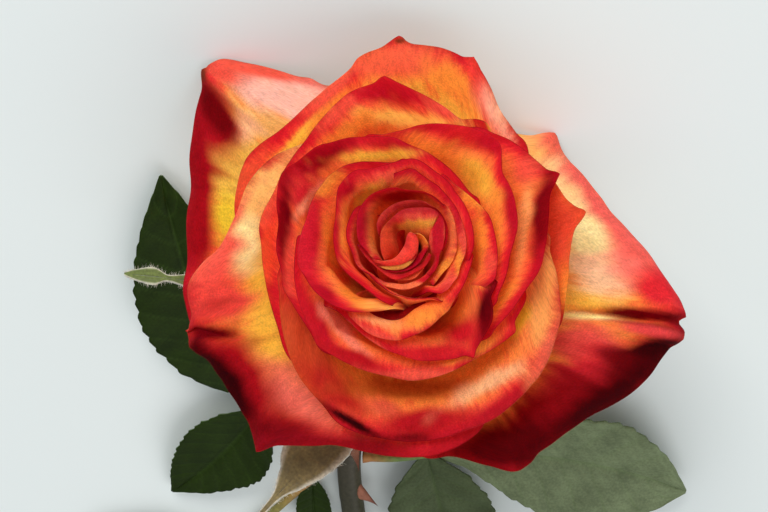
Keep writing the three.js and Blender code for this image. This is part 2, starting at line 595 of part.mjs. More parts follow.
// A round bar along a smooth line through the points
function bar(points, radius, sides, steps) {
  const path = new THREE.CatmullRomCurve3(points.map(vector), false, "centripetal");
  const round = new THREE.Shape().absarc(0, 0, radius, 0, 2 * Math.PI);
  const settings = { extrudePath: path, steps, curveSegments: sides / 2, bevelEnabled: false };
  return { path, made: solid(new THREE.ExtrudeGeometry(round, settings)) };
}

// A body of revolution about the bloom's axis, from [radius, place on the axis] pairs
function turned(profile, sides) {
  const points = profile.map(([radius, h]) => new THREE.Vector2(radius, h));
  const geometry = new THREE.LatheGeometry(points, sides);
  const frame = new THREE.Matrix4().makeBasis(RIGHT, OUT, RIGHT.clone().cross(OUT)).setPosition(BASE);
  return solid(geometry.applyMatrix4(frame));
}

// The stem with the hip it swells into and its prickles, cut to a flat where it lies
function stemWithHip() {
  const { path, made } = bar(STEM_PATH, STEM_RADIUS, 16, 44);
  const dome = [0, 18, 36, 54, 72, 90].map((around) =>
    [RECEPTACLE_RADIUS * Math.sin(rad(around)), RECEPTACLE_RADIUS * Math.cos(rad(around))]);
  const hip = turned([...dome, ...HIP_PROFILE, [0, HIP_END]].reverse(), 28);
  const prickles = PRICKLES.map(([share, side]) => prickle(path, share, side));
  const reach = STEM_PATH[STEM_PATH.length - 1][1];
  const below = wasm.Manifold.cube([4 * reach, 4 * reach, reach], true).translate([0, 0, -reach / 2]);
  return joined([made, hip, ...prickles]).subtract(below);
}

// A prickle: a flattened cone on the stem whose tip leans towards the cut end
function prickle(path, share, side) {
  const along = path.getTangentAt(share);
  const across = along.clone().cross(new THREE.Vector3(0, 0, 1)).normalize();
  const outward = across.clone().cross(along).normalize().applyAxisAngle(along, rad(side));
  const sideways = along.clone().cross(outward);
  const cone = new THREE.ConeGeometry(1, 1, 10).translate(0, 0.5, 0);
  const lift = outward.clone().addScaledVector(along, PRICKLE.slant).multiplyScalar(PRICKLE.length);
  const foot = path.getPointAt(share).addScaledVector(outward, STEM_RADIUS - PRICKLE.sunk);
  const frame = new THREE.Matrix4()
    .makeBasis(sideways.multiplyScalar(PRICKLE.width), lift, along.clone().multiplyScalar(PRICKLE.foot))
    .setPosition(foot);
  return solid(cone.applyMatrix4(frame));
}

// A sepal: a blade folded a little along its midline
function sepalGrid({ azimuth, bend, midline, half }) {
  const grid = [];
  for (const share of ACROSS) {
    grid.push(midline.map(([distance, h], i) => {
      const bow = bend * Math.sin(Math.PI * (i / (midline.length - 1)));
      const across = share * half[i] + bow;
      const turn = rad(azimuth);
      const x = distance * Math.cos(turn) - across * Math.sin(turn);
      const y = distance * Math.sin(turn) + across * Math.cos(turn);
      return bloomPoint(x, y, h - SEPAL_HOLLOW * half[i] * (1 - share * share));
    }));
  }
  return grid;
}

// The middle surface of a leaflet: columns across its midrib, with teeth along both margins
function leafletGrid({ from, to, width, bow, roll, rise: arch, blunt = 1 }) {
  const [foot, tip] = [vector(from), vector(to)];
  const onward = tip.clone().sub(foot);
  const length = onward.length();
  onward.normalize();
  const side = new THREE.Vector3(0, 0, 1).cross(onward).normalize().applyAxisAngle(onward, rad(roll));
  const up = onward.clone().cross(side);
  const grid = [];
  for (const share of ACROSS) {
    const column = [];
    for (let station = 0; station <= 2 * TEETH; station++) {
      const s = station / (2 * TEETH);
      const tooth = station % 2 === 1;
      const half = width * along(LEAFLET_OUTLINE, s ** blunt) * (tooth ? 1 : NOTCH);
      const lead = tooth ? (TOOTH_LEAN * length * share * share) / (2 * TEETH) : 0;
      const swing = 4 * s * (1 - s);
      const point = foot.clone()
        .addScaledVector(onward, s * length + lead)
        .addScaledVector(side, share * half + bow * swing)
        .addScaledVector(up, LEAFLET_FOLD * Math.abs(share) * half + arch * swing);
      point.z = Math.max(point.z, BLADE_LOWEST);
      column.push(point);
    }
    grid.push(column);
  }
  return grid;
}

function compoundLeaf({ rachis, leaflets }) {
  const { made } = bar(rachis, RACHIS_RADIUS, 8, 4 * (rachis.length - 1));
  return joined([made, ...leaflets.map((one) => solid(bladeGeometry(leafletGrid(one), BLADE_THICKNESS)))]);
}

const rose = new THREE.Group();
rose.position.set(-MIDDLE_X, -MIDDLE_Y, 0);

function addMesh(name, made, color, roughness) {
  const geometry = geometryOf(made);
  geometry.computeVertexNormals();
  const material = new THREE.MeshStandardMaterial({ color, roughness, metalness: 0 });
  const mesh = new THREE.Mesh(geometry, material);
  mesh.name = name;
  rose.add(mesh);
}

// Petals
const heart = Object.entries(HEART).map(([name, spec]) => new Layer(name, spec));
const petals = Object.entries(PETALS).map(([name, spec]) => new Layer(name, spec));
spreadLayers([...heart, ...petals], "body");
spreadLayers([...heart, ...petals], "rim");

for (const petal of petals) {
  const rows = petal.spec.claw > OUTER_CLAW ? 6 : 5;
  const rollRows = petal.spec.roll && petal.spec.roll[0] > ROLL_FROM ? 1 : 0;
  addMesh(petal.name, solid(bladeGeometry(petalGrid(petal, rows, rollRows), PETAL_THICKNESS)), 0xd8452f, 0.6);
}

// The heart's petals are joined at their claws
const { radius: discRadius, from: discFrom, to: discTo } = HEART_DISC;
const disc = [[0, discFrom], [discRadius, discFrom], [discRadius, discTo], [0, discTo]];
const furled = heart.map((petal) => solid(bladeGeometry(petalGrid(petal, 4, 0), PETAL_THICKNESS)));
addMesh("heart", joined([...furled, turned(disc, 16)]), 0xc9382a, 0.6);

// Stem, hip and prickles
addMesh("stem", stemWithHip(), 0x6b5a52, 0.7);

// Sepals
for (const [name, sepal] of Object.entries(SEPALS)) {
  addMesh(name, solid(bladeGeometry(sepalGrid(sepal), BLADE_THICKNESS)), 0x8f8c5c, 0.9);
}

// Leaves
for (const [name, leaf] of Object.entries(LEAVES)) addMesh(name, compoundLeaf(leaf), 0x3f5c2c, 0.6);

export default rose;
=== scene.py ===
import math

import bpy
import numpy as np
from mathutils import Matrix, Vector


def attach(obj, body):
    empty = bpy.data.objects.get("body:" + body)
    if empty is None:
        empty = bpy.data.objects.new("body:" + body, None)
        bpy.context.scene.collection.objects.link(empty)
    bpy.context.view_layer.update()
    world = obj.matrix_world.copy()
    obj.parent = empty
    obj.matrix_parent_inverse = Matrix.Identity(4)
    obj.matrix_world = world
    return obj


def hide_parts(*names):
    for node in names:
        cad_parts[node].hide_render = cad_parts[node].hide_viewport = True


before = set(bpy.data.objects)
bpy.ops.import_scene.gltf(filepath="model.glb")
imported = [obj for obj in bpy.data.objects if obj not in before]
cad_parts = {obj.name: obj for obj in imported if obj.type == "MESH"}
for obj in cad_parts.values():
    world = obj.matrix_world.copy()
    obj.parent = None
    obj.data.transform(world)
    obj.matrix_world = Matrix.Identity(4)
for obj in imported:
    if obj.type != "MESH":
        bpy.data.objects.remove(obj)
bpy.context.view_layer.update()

# Stem, hip and prickles: one woody piece. The stem swells into the hip, whose top carries the petals, and
# bears curved prickles that point to its cut end. It lies along the surface on a narrow flat. Lengths are in
# mm.
MM = 0.001
BLOOM_TILT = math.radians(37)
BASE_HEIGHT = 26.58
MIDDLE = np.array([4.5, 88.8, 0.0])
BASE = np.array([0.0, 0.0, BASE_HEIGHT]) - MIDDLE
RIGHT = np.array([-1.0, 0.0, 0.0])
UP = np.array([0.0, -math.sin(BLOOM_TILT), -math.cos(BLOOM_TILT)])
OUT = np.array([0.0, -math.cos(BLOOM_TILT), math.sin(BLOOM_TILT)])
STEM_RADIUS = 3
STEM_LIE = 2.75
STEM_PATH = [
    (0, 11.2, 18), (0.4, 16.5, 14), (3, 26, 8.2), (7.5, 40, 4), (11.6, 54, 2.85), (14.2, 67, STEM_LIE),
    (13.6, 85, STEM_LIE), (10.5, 110, STEM_LIE), (6, 140, STEM_LIE), (3, 172, STEM_LIE), (2, 204, STEM_LIE),
    (3, 236, STEM_LIE),
]
STEM_SPANS = 24
STEM_SIDES = 28
STEM_INSET = 0.05
STEM_LIFT = 0.02
RIDGES = {"count": 6, "depth": 0.012}
KNOTS = {"at": (0.235, 0.262, 0.27, 0.53), "swell": 0.084, "reach": 0.008}
HIP_PROFILE = [  # radius, and place on the bloom's axis over the petals' base
    (0, 7.2), (2.2, 6.85), (4.2, 5.8), (5.8, 4.2), (6.85, 2.2), (7.2, 0), (7.4, -2), (7.2, -5), (6.4, -9),
    (5, -12.5), (3.8, -15), (3.05, -17.5),
]
HIP_SIDES = 48
HIP_SPANS = 5
HIP_LOBES = 5
PRICKLES = [  # share of the stem's length, and side of the stem in degrees from straight up
    (0.13, 50), (0.34, -50), (0.43, 20), (0.52, 62), (0.61, -70), (0.7, 35), (0.78, -30), (0.86, 70),
    (0.94, -55),
]
PRICKLE = {
    "length": 5, "foot": 2.6, "width": 1.3, "slant": 0.5, "hook": 0.8, "sunk": 0.4, "rings": 14, "sides": 18,
}


def paint(red, green, blue):
    """A colour as it looks on a screen, 0 to 255, in the renderer's linear form."""
    c = np.array([red, green, blue]) / 255
    return np.where(c <= 0.04045, c / 12.92, ((c + 0.055) / 1.055) ** 2.4)


def mixed(one, other, share):
    return one * (1 - share) + other * share


def smooth(x, start, end):
    t = np.clip((x - start) / (end - start), 0, 1)
    return t * t * (3 - 2 * t)


def unit(vectors):
    return vectors / np.maximum(np.linalg.norm(vectors, axis=-1, keepdims=True), 1e-9)


def turns(sides):
    return np.linspace(0, 2 * math.pi, sides, endpoint=False)


def curve_through(values, spans):
    """A smooth curve that keeps each of the values, cut into equal spans between them."""
    before = np.concatenate([values[:1], values[:-1]])[:-1]
    here, there = values[:-1], values[1:]
    beyond = np.concatenate([values[1:], values[-1:]])[1:]
    t = np.arange(spans)[:, None] / spans
    fine = 0.5 * (2 * here + (there - before) * t + (2 * before - 5 * here + 4 * there - beyond) * t**2
                  + (3 * here - before - 3 * there + beyond) * t**3)
    return np.append(fine.T.ravel(), values[-1])


def waves(seed, places, count, shortest, longest):
    """Even, seeded undulation between about -1 and 1 at the places given as two coordinates in mm."""
    rng = np.random.default_rng(seed)
    total = np.zeros(places[0].shape)
    for _ in range(count):
        heading = rng.uniform(0, 2 * math.pi)
        wave = 2 * math.pi / rng.uniform(shortest, longest)
        total += np.sin(wave * (places[0] * math.cos(heading) + places[1] * math.sin(heading))
                        + rng.uniform(0, 2 * math.pi))
    return total / math.sqrt(count)


def bloom_points(x, y, h):
    """Places right of the bloom's axis, up the picture and out along the axis, in the frame's own axes."""
    return BASE + x[..., None] * RIGHT + y[..., None] * UP + h[..., None] * OUT


def bar_curve(points, spans):
    """A smooth line through the points, as the places along it and the headings there."""
    knots = np.array(points, float)
    steps = np.linalg.norm(np.diff(knots, axis=0), axis=1) ** 0.5
    time = np.concatenate([[0], np.cumsum(steps)])
    ends = [2 * knots[0] - knots[1], *knots, 2 * knots[-1] - knots[-2]]
    times = [-steps[0], *time, time[-1] + steps[-1]]
    t = np.arange(spans)[:, None] / spans
    fine = []
    for i in range(1, len(ends) - 2):
        p0, p1, p2, p3 = ends[i - 1:i + 3]
        t0, t1, t2, t3 = times[i - 1:i + 3]
        m1 = (t2 - t1) * ((p1 - p0) / (t1 - t0) - (p2 - p0) / (t2 - t0) + (p2 - p1) / (t2 - t1))
        m2 = (t2 - t1) * ((p2 - p1) / (t2 - t1) - (p3 - p1) / (t3 - t1) + (p3 - p2) / (t3 - t2))
        fine.append((2 * t**3 - 3 * t**2 + 1) * p1 + (t**3 - 2 * t**2 + t) * m1
                    + (3 * t**2 - 2 * t**3) * p2 + (t**3 - t**2) * m2)
    places = np.concatenate([*fine, knots[-1:]])
    return places, unit(np.gradient(places, axis=0))


def tube_points(places, headings, radii, sides):
    """Rings of points round a line, kept from turning about it."""
    side = np.cross(headings[0], [0, 0, 1.0])
    turn = turns(sides)[:, None]
    rings = []
    for place, heading, radius in zip(places, headings, radii):
        side = unit(side - heading * (side @ heading))
        other = np.cross(heading, side)
        rings.append(place + radius[:, None] * (np.cos(turn) * side + np.sin(turn) * other))
    return np.array(rings)


def tinted_object(name, corners, faces, tint, material):
    """An object of corners in mm, with a tint at each. Its four-sided faces are smooth."""
    mesh = bpy.data.meshes.new(name)
    mesh.from_pydata((corners * MM).tolist(), [], faces)
    mesh.polygons.foreach_set("use_smooth", [len(face) == 4 for face in faces])
    colours = np.concatenate([np.broadcast_to(tint, corners.shape), np.ones((len(corners), 1))], 1)
    layer = mesh.color_attributes.new("tint", "FLOAT_COLOR", "POINT")
    layer.data.foreach_set("color", colours.astype(np.float32).ravel())
    mesh.materials.append(material)
    obj = bpy.data.objects.new(name, mesh)
    bpy.context.scene.collection.objects.link(obj)
    return obj


def ringed_object(name, rings, tint, material):
    """A skin over rings of points, closed at both ends."""
    n, sides, _ = rings.shape
    ids = np.arange(n * sides).reshape(n, sides)
    turned = np.roll(ids, -1, axis=1)
    faces = np.stack([ids[:-1], turned[:-1], turned[1:], ids[1:]], -1).reshape(-1, 4).tolist()
    faces += [ids[0, ::-1].tolist(), ids[-1].tolist()]
    tint = np.broadcast_to(tint, rings.shape).reshape(-1, 3)
    return tinted_object(name, rings.reshape(-1, 3), faces, tint, material)


def joined(name, pieces):
    """Several grown pieces as one object."""
    with bpy.context.temp_override(active_object=pieces[0], selected_editable_objects=pieces):
        bpy.ops.object.join()
    pieces[0].name = name
    return pieces[0]


class Skin:
    """A material's nodes, wired to each other and to its shader."""

    def __init__(self, name):
        self.material = bpy.data.materials.new(name)
        self.material.use_nodes = True
        self.tree = self.material.node_tree

    def feed(self, node, inputs):
        for name, value in inputs.items():
            if isinstance(value, bpy.types.NodeSocket):
                self.tree.links.new(value, node.inputs[name])
            else:
                node.inputs[name].default_value = value

    def made(self, kind, inputs=None, **settings):
        """A new node's outputs."""
        node = self.tree.nodes.new("ShaderNode" + kind)
        for name, value in settings.items():
            setattr(node, name, value)
        self.feed(node, inputs or {})
        return node.outputs

    def ranged(self, noise, low, high):
        """Noise, which lies between about 0.3 and 0.7, spread from low to high."""
        inputs = {"Value": noise, "From Min": 0.3, "From Max": 0.7, "To Min": low, "To Max": high}
        return self.made("MapRange", inputs)["Result"]

    def scaled(self, colour, tone):
        return self.made("VectorMath", {"Scale": tone, 0: colour}, operation="SCALE")["Vector"]

    def bumped(self, height, strength, depth):
        return self.made("Bump", {"Height": height, "Strength": strength, "Distance": depth})["Normal"]

    def finished(self, inputs):
        self.feed(self.tree.nodes["Principled BSDF"], inputs)
        return self.material


def tinted_material(name, roughness, grain_scale, grain_depth, bump_depth, gloss=0.5, sheen=0.0):
    """A grown surface: its own tints with a fine grain in colour and height."""
    skin = Skin(name)
    where = skin.made("TexCoord")["Object"]
    grain = skin.made("TexNoise", {"Vector": where, "Scale": grain_scale, "Detail": 5})["Fac"]
    tint = skin.made("Attribute", attribute_name="tint")["Color"]
    return skin.finished({
        "Base Color": skin.scaled(tint, skin.ranged(grain, 1 - grain_depth, 1 + grain_depth)),
        "Normal": skin.bumped(grain, 0.5, bump_depth),
        "Roughness": roughness, "Sheen Weight": sheen, "Specular IOR Level": gloss,
    })


BARK = paint(60, 44, 44)
BARK_GREEN = paint(70, 80, 46)
PRICKLE_RED = paint(150, 96, 74)
PRICKLE_TIP = paint(110, 60, 44)
stem_skin = tinted_material("stem_skin", 0.5, 900, 0.22, 0.00012, 0.25)
places, headings = bar_curve(STEM_PATH, STEM_SPANS)
along_stem = np.linspace(0, 1, len(places))
swell = sum(KNOTS["swell"] * np.exp(-((along_stem - at) / KNOTS["reach"]) ** 2) for at in KNOTS["at"])
ridged = 1 + RIDGES["depth"] * np.sin(RIDGES["count"] * turns(STEM_SIDES))
rings = tube_points(places, headings, (STEM_RADIUS - STEM_INSET + swell)[:, None] * ridged, STEM_SIDES)
rings[..., 2] = np.maximum(rings[..., 2], STEM_LIFT)
greener = smooth(along_stem, 0.2, 0.8)[:, None, None] * 0.7
patches = waves(11, (rings[..., 0] + rings[..., 2], rings[..., 1] * 0.4), 7, 5, 30)[..., None] * 0.16
stem_tint = mixed(BARK, BARK_GREEN, greener) * (1 + patches)
grown = [ringed_object("stem_bar", rings - MIDDLE, stem_tint, stem_skin)]

hip_radius, hip_height = (
    curve_through(np.array(column, float), HIP_SPANS)[:, None] for column in zip(*HIP_PROFILE))
around = turns(HIP_SIDES)
hip_radius = np.maximum(hip_radius, 0.02) * (1 + RIDGES["depth"] * np.cos(HIP_LOBES * around))
hip_height = np.broadcast_to(hip_height, hip_radius.shape)
hip_rings = bloom_points(hip_radius * np.cos(around), hip_radius * np.sin(around), hip_height)
grown.append(ringed_object("hip", hip_rings[::-1], mixed(BARK_GREEN, BARK, 0.2), stem_skin))

spine = np.linspace(0, 1, PRICKLE["rings"])[:, None, None]
ring = turns(PRICKLE["sides"])[None, :, None]
taper = (1 - spine) ** 1.25 + 0.015
onward = PRICKLE["slant"] * PRICKLE["length"] * spine + PRICKLE["hook"] * spine**2.2
for share, side in PRICKLES:
    at = share * (len(places) - 1)
    low = int(at)
    centre = mixed(places[low], places[low + 1], at - low)
    heading = headings[low]
    across = unit(np.cross(heading, [0, 0, 1.0]))
    turn = math.radians(side)
    outward = np.cross(across, heading) * math.cos(turn) - across * math.sin(turn)
    prickle = (centre + outward * (STEM_RADIUS - PRICKLE["sunk"] + PRICKLE["length"] * spine)
               + heading * onward + np.cross(heading, outward) * PRICKLE["width"] * taper * np.cos(ring)
               + heading * PRICKLE["foot"] * taper * np.sin(ring))
    tint = mixed(PRICKLE_RED, PRICKLE_TIP, smooth(spine, 0.3, 1))
    grown.append(ringed_object("prickle", prickle - MIDDLE, tint, stem_skin))
stem = joined("stem_with_hip", grown)
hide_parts("stem")
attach(stem, "root")

# Sepals: five narrow green blades that stood round the bud and are bent back from the hip, grey with wool at
# their margins. One ends in a little leafy tip.
SEPAL_HOLLOW = 0.22
SEPAL_THICKNESS = 0.5
SEPAL_SPANS = 8
SEPAL_COLUMNS = 25
SEPAL_GREEN = paint(112, 98, 58)
WOOL = paint(198, 192, 176)
HAIRS = {"a_side": 170, "shortest": 0.5, "longest": 1.3, "stray": 0.6, "radius": 0.035}

# Each sepal points to an azimuth round the bloom's axis, in degrees, and bends to a side by so many mm. Its
# midline goes by distance from that axis and height over the petals' base, with a half width at each place.
SEPALS = {
    "sepal_left": {
        "azimuth": 174, "bend": 0,
        "midline": [(7.8, -1.6), (16, -2.4), (28, -2.2), (40, -1.2), (49, -0.4), (53.5, 0), (56.5, 0.6),
            (60, 0.4), (63.4, 0)],
        "half": [3.5, 5.6, 4.6, 2.8, 1.6, 0.7, 1.9, 1.5, 0.3],
        "green": paint(92, 104, 46),
    },
    "sepal_lower": {
        "azimuth": 235, "bend": 1.5,
        "midline": [(7.8, -1.6), (15, -2.6), (24, -2.6), (33, -1.6), (41, -0.8), (47, -0.3), (51.5, 0),
            (56, 0), (61, -0.8)],
        "half": [3.5, 5.6, 7, 7.1, 5.9, 3.1, 1, 0.6, 0.35],
    },
    "sepal_back_right": {
        "azimuth": 290, "bend": -1,
        "midline": [(7.8, -1.6), (12, -2.4), (17, -3), (22.5, -3.2), (27, -3.2), (30.5, -3.2), (33.5, -3.4)],
        "half": [3.5, 5.4, 5.2, 4.2, 2.8, 1.4, 0.35],
    },
    "sepal_right": {
        "azimuth": 18, "bend": 1,
        "midline": [(7.8, -1.6), (12, -3), (17, -5), (22, -7.4), (26, -9.8), (29, -12.4)],
        "half": [3.5, 5.2, 4.6, 3.2, 1.7, 0.35],
    },
    "sepal_under": {
        "azimuth": 97, "bend": 0,
        "midline": [(7.8, -1.6), (11.5, -2.4), (15.5, -3), (19, -3), (22, -2.4), (24.5, -1.4)],
        "half": [3.5, 5, 4.4, 3, 1.6, 0.35],
    },
}
sepal_skin = tinted_material("sepal_skin", 0.85, 1500, 0.3, 0.0002, sheen=0.6)


def face_normals(points):
    return unit(np.cross(np.gradient(points, axis=0), np.gradient(points, axis=1)))


def blade_object(name, points, thickness, places, marks, material):
    """A closed blade round a grid of middle points in mm, its inner face first. Each mark is a pair of values,
    or of colours, for the two faces."""
    m, n, _ = points.shape
    half = face_normals(points) * np.broadcast_to(thickness, (m, n))[..., None] / 2
    corners = np.concatenate([(points - half).reshape(-1, 3), (points + half).reshape(-1, 3)])
    ids = np.arange(2 * m * n).reshape(2, m, n)
    inner = np.stack([ids[0, :-1, :-1], ids[0, :-1, 1:], ids[0, 1:, 1:], ids[0, 1:, :-1]], -1).reshape(-1, 4)
    outer = np.stack([ids[1, :-1, :-1], ids[1, 1:, :-1], ids[1, 1:, 1:], ids[1, :-1, 1:]], -1).reshape(-1, 4)
    ring = np.concatenate([ids[:, :, 0], ids[:, -1, 1:], ids[:, -2::-1, -1], ids[:, 0, -2:0:-1]], 1)
    turned = np.roll(ring, -1, axis=1)
    edge = np.stack([ring[0], turned[0], turned[1], ring[1]], -1)
    faces = np.concatenate([inner, outer, edge])
    mesh = bpy.data.meshes.new(name)
    mesh.vertices.add(len(corners))
    mesh.vertices.foreach_set("co", (corners * MM).astype(np.float32).ravel())
    mesh.loops.add(faces.size)
    mesh.loops.foreach_set("vertex_index", faces.astype(np.int32).ravel())
    mesh.polygons.add(len(faces))
    mesh.polygons.foreach_set("loop_start", np.arange(0, faces.size, 4, dtype=np.int32))
    mesh.update(calc_edges=True)
    mesh.validate()
    mesh.polygons.foreach_set("use_smooth", np.ones(len(mesh.polygons), bool))
    for mark, pair in marks.items():
        if pair[0].ndim == 2:
            layer = mesh.attributes.new(mark, "FLOAT", "POINT")
            layer.data.foreach_set("value", np.concatenate([v.ravel() for v in pair]).astype(np.float32))
            continue
        colours = np.concatenate([v.reshape(m * n, -1) for v in pair])
        if colours.shape[1] == 3:
            colours = np.concatenate([colours, np.ones((len(colours), 1))], 1)
        layer = mesh.color_attributes.new(mark, "FLOAT_COLOR", "POINT")
        layer.data.foreach_set("color", colours.astype(np.float32).ravel())
    blade = mesh.uv_layers.new(name="blade")
    uv = np.tile(np.stack([places[0].ravel(), places[1].ravel()], -1) * MM, (2, 1))
    blade.data.foreach_set("uv", uv[faces.ravel()].astype(np.float32).ravel())
    mesh.materials.append(material)
    obj = bpy.data.objects.new(name, mesh)
    bpy.context.scene.collection.objects.link(obj)
    return obj


def sepal_object(name, seed, azimuth, bend, midline, half, green=SEPAL_GREEN):
    """A sepal, and the grid of middle points it lies round."""
    distance, h = (curve_through(np.array(column, float), SEPAL_SPANS) for column in zip(*midline))
    width = np.maximum(curve_through(np.array(half, float), SEPAL_SPANS), 0.25)
    share = np.linspace(-1, 1, SEPAL_COLUMNS)[:, None]
    bow = bend * np.sin(np.linspace(0, math.pi, len(distance)))
    frayed = 1 + 0.035 * waves(seed, (distance + share * 0, distance * 0 + share), 5, 1.2, 5)
    across = share * width * np.where(np.abs(share) > 0.9, frayed, 1) + bow
    ribs = 0.16 * np.cos(share * 9) * smooth(width, 0.5, 3)
    keel = -0.45 * np.exp(-(share / 0.12) ** 2) * smooth(width, 0.4, 2)
    height = h - SEPAL_HOLLOW * width * (1 - share**2) + ribs + keel
    turn = math.radians(azimuth)
    along_axis = np.broadcast_to(distance, across.shape)
    points = bloom_points(along_axis * math.cos(turn) - across * math.sin(turn),
                          along_axis * math.sin(turn) + across * math.cos(turn), height)
    woolly = smooth(np.abs(share), 0.72, 1.0)[..., None] * 0.8
    mottle = 1 + 0.14 * waves(seed + 9, (along_axis, across), 6, 2, 12)[..., None]
    tint = mixed(green, WOOL, woolly) * mottle
    marks = {"tint": (tint, tint)}
    blade = blade_object(name, points, SEPAL_THICKNESS, (across, along_axis), marks, sepal_skin)
    return blade, points


def wool_object(points, seed):
    """Short hairs that stand out from both margins of a sepal, each a thin spike with three sides."""
    rng = np.random.default_rng(seed)
    corners = []
    for margin, beside in ((points[0], points[1]), (points[-1], points[-2])):
        outward = unit(margin - beside)
        for _ in range(HAIRS["a_side"]):
            at = rng.uniform(0, len(margin) - 1.001)
            low = int(at)
            root = mixed(margin[low], margin[low + 1], at - low)
            lean = outward[low] + rng.normal(0, HAIRS["stray"], 3)
            tip = root + unit(lean) * rng.uniform(HAIRS["shortest"], HAIRS["longest"])
            side = unit(np.cross(lean, rng.normal(0, 1, 3))) * HAIRS["radius"]
            third = unit(np.cross(lean, side)) * HAIRS["radius"]
            corners += [root + side, root - side * 0.5 + third, root - side * 0.5 - third, tip]
    faces = [[hair + a, hair + b, hair + c] for hair in range(0, len(corners), 4)
             for a, b, c in ((0, 2, 1), (0, 1, 3), (1, 2, 3), (2, 0, 3))]
    return tinted_object("wool", np.array(corners), faces, WOOL, sepal_skin)


for seed, (name, sepal) in enumerate(SEPALS.items()):
    made, points = sepal_object(name + "_blade", seed, **sepal)
    made = joined(name + "_blade", [made, wool_object(points, seed + 70)])
    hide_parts(name)
    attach(made, "root")

# Leaves: each is a petiole that runs on as a rachis between pairs of leaflets, with one more at its end. The
# leaflets are finely toothed, hollowed along their veins, and dull green above, paler where they catch the
# light.

# Places are measured from the ground under the bloom's base. Bow bends a leaflet to a side and rise arches it,
# both in mm; roll tilts it, in degrees; blunt moves its widest part tipward; pale is how much light it catches.
LEAVES = {
    "leaf_left": {
        "rachis": [(14, 50, 4.6), (24, 50, 6.4), (34, 52, 5.6), (42, 45.4, 4.6)],
        "leaflets": [
            {"foot": (42, 45.4, 4.6), "tip": (55.6, -17.5, 3), "width": 14, "bow": 1.5, "rise": 1},
            {"foot": (36, 51.2, 5.3), "tip": (59, 81, 2.4), "width": 11.8, "bow": 1.4, "rise": 0.6},
            {"foot": (35, 52, 5.5), "tip": (20, 12, 2.6), "width": 11, "bow": -3},
        ],
    },
    "leaf_right": {
        "rachis": [(10.8, 67.5, 4.3), (3, 67, 5), (-6.8, 66, 4.4)],
        "leaflets": [
            {"foot": (-6.8, 66, 4.4), "tip": (-70, 78.6, 5), "width": 19, "bow": 6, "roll": 3, "rise": 1.5,
             "blunt": 1.6, "pale": 0.85},
            {"foot": (-5, 66.2, 4.6), "tip": (-15, 116, 2.6), "width": 14, "rise": 1.4, "pale": 0.35},
            {"foot": (-5, 66, 4.6), "tip": (-20, 22, 3), "width": 11, "bow": 3, "rise": 0.6},
        ],
    },
    "leaf_lower_left": {
        "rachis": [(18.3, 70.6, 3.4), (25, 78, 2.6), (33, 87.5, 2.2), (48, 106, 2), (62, 128, 2),
            (68, 141, 2)],
        "leaflets": [
            {"foot": (23.4, 76.2, 2.8), "tip": (22, 101, 1.6), "width": 4.6, "bow": -0.6, "rise": 0.4},
            {"foot": (47, 105, 2), "tip": (83, 96.5, 2.4), "width": 11, "bow": 1.5, "rise": 1.6},
            {"foot": (47, 105, 2), "tip": (30, 138, 2), "width": 10.5, "bow": -1, "rise": 1.6},
            {"foot": (62, 128, 2), "tip": (97, 134, 2.4), "width": 10.5, "bow": 1, "rise": 1.6},
            {"foot": (62, 128, 2), "tip": (42, 160, 2), "width": 10, "bow": -1, "rise": 1.6},
            {"foot": (68, 141, 2), "tip": (84, 186, 2.6), "width": 13, "bow": 1, "rise": 2},
        ],
    },
    "leaf_lower_right": {
        "rachis": [(3.5, 133.5, 3), (-4, 131, 3), (-14, 126, 2.6), (-30, 122.5, 2.2), (-44, 124, 2.2)],
        "leaflets": [
            {"foot": (-28, 123, 2.2), "tip": (-50, 96, 2), "width": 10.5, "bow": 1, "rise": 1.2},
            {"foot": (-28, 123, 2.2), "tip": (-37, 160, 2), "width": 11, "bow": -1, "rise": 1.6},
            {"foot": (-44, 124, 2.2), "tip": (-88, 130, 2.6), "width": 13, "bow": 1, "rise": 2},
        ],
    },
}
LEAFLET_OUTLINE = [  # share of the leaflet's length, and of its half width
    (0, 0.1), (0.06, 0.36), (0.15, 0.68), (0.28, 0.92), (0.42, 1), (0.56, 0.93), (0.7, 0.74), (0.84, 0.45),
    (0.94, 0.18), (1, 0.03),
]
LEAFLET_COLUMNS = 31
LEAFLET_FOLD = 0.16
LEAF_THICKNESS = 0.35
LEAST_CLEARANCE = 0.08
TEETH = 17
TOOTH = {"rows": 6, "crest": 0.72, "depth": 0.045}
VEINS = 7
VEIN_SWEEP = 0.55
QUILTING = 0.32
MIDRIB_DEPTH = 0.35
RACHIS = {"radius": 1.1, "swollen": 0.35, "sides": 16, "groove": 0.12, "spans": 14}
LEAF_DARK = paint(30, 44, 8)
LEAF_VEIN = paint(52, 72, 26)
LEAF_LIT = paint(120, 132, 98)
LEAF_UNDER = paint(84, 104, 66)
PETIOLE_RED = paint(168, 112, 62)
PETIOLE_GREEN = paint(104, 124, 62)
leaf_skin = tinted_material("leaf_skin", 0.5, 1600, 0.16, 0.0001, 0.07)


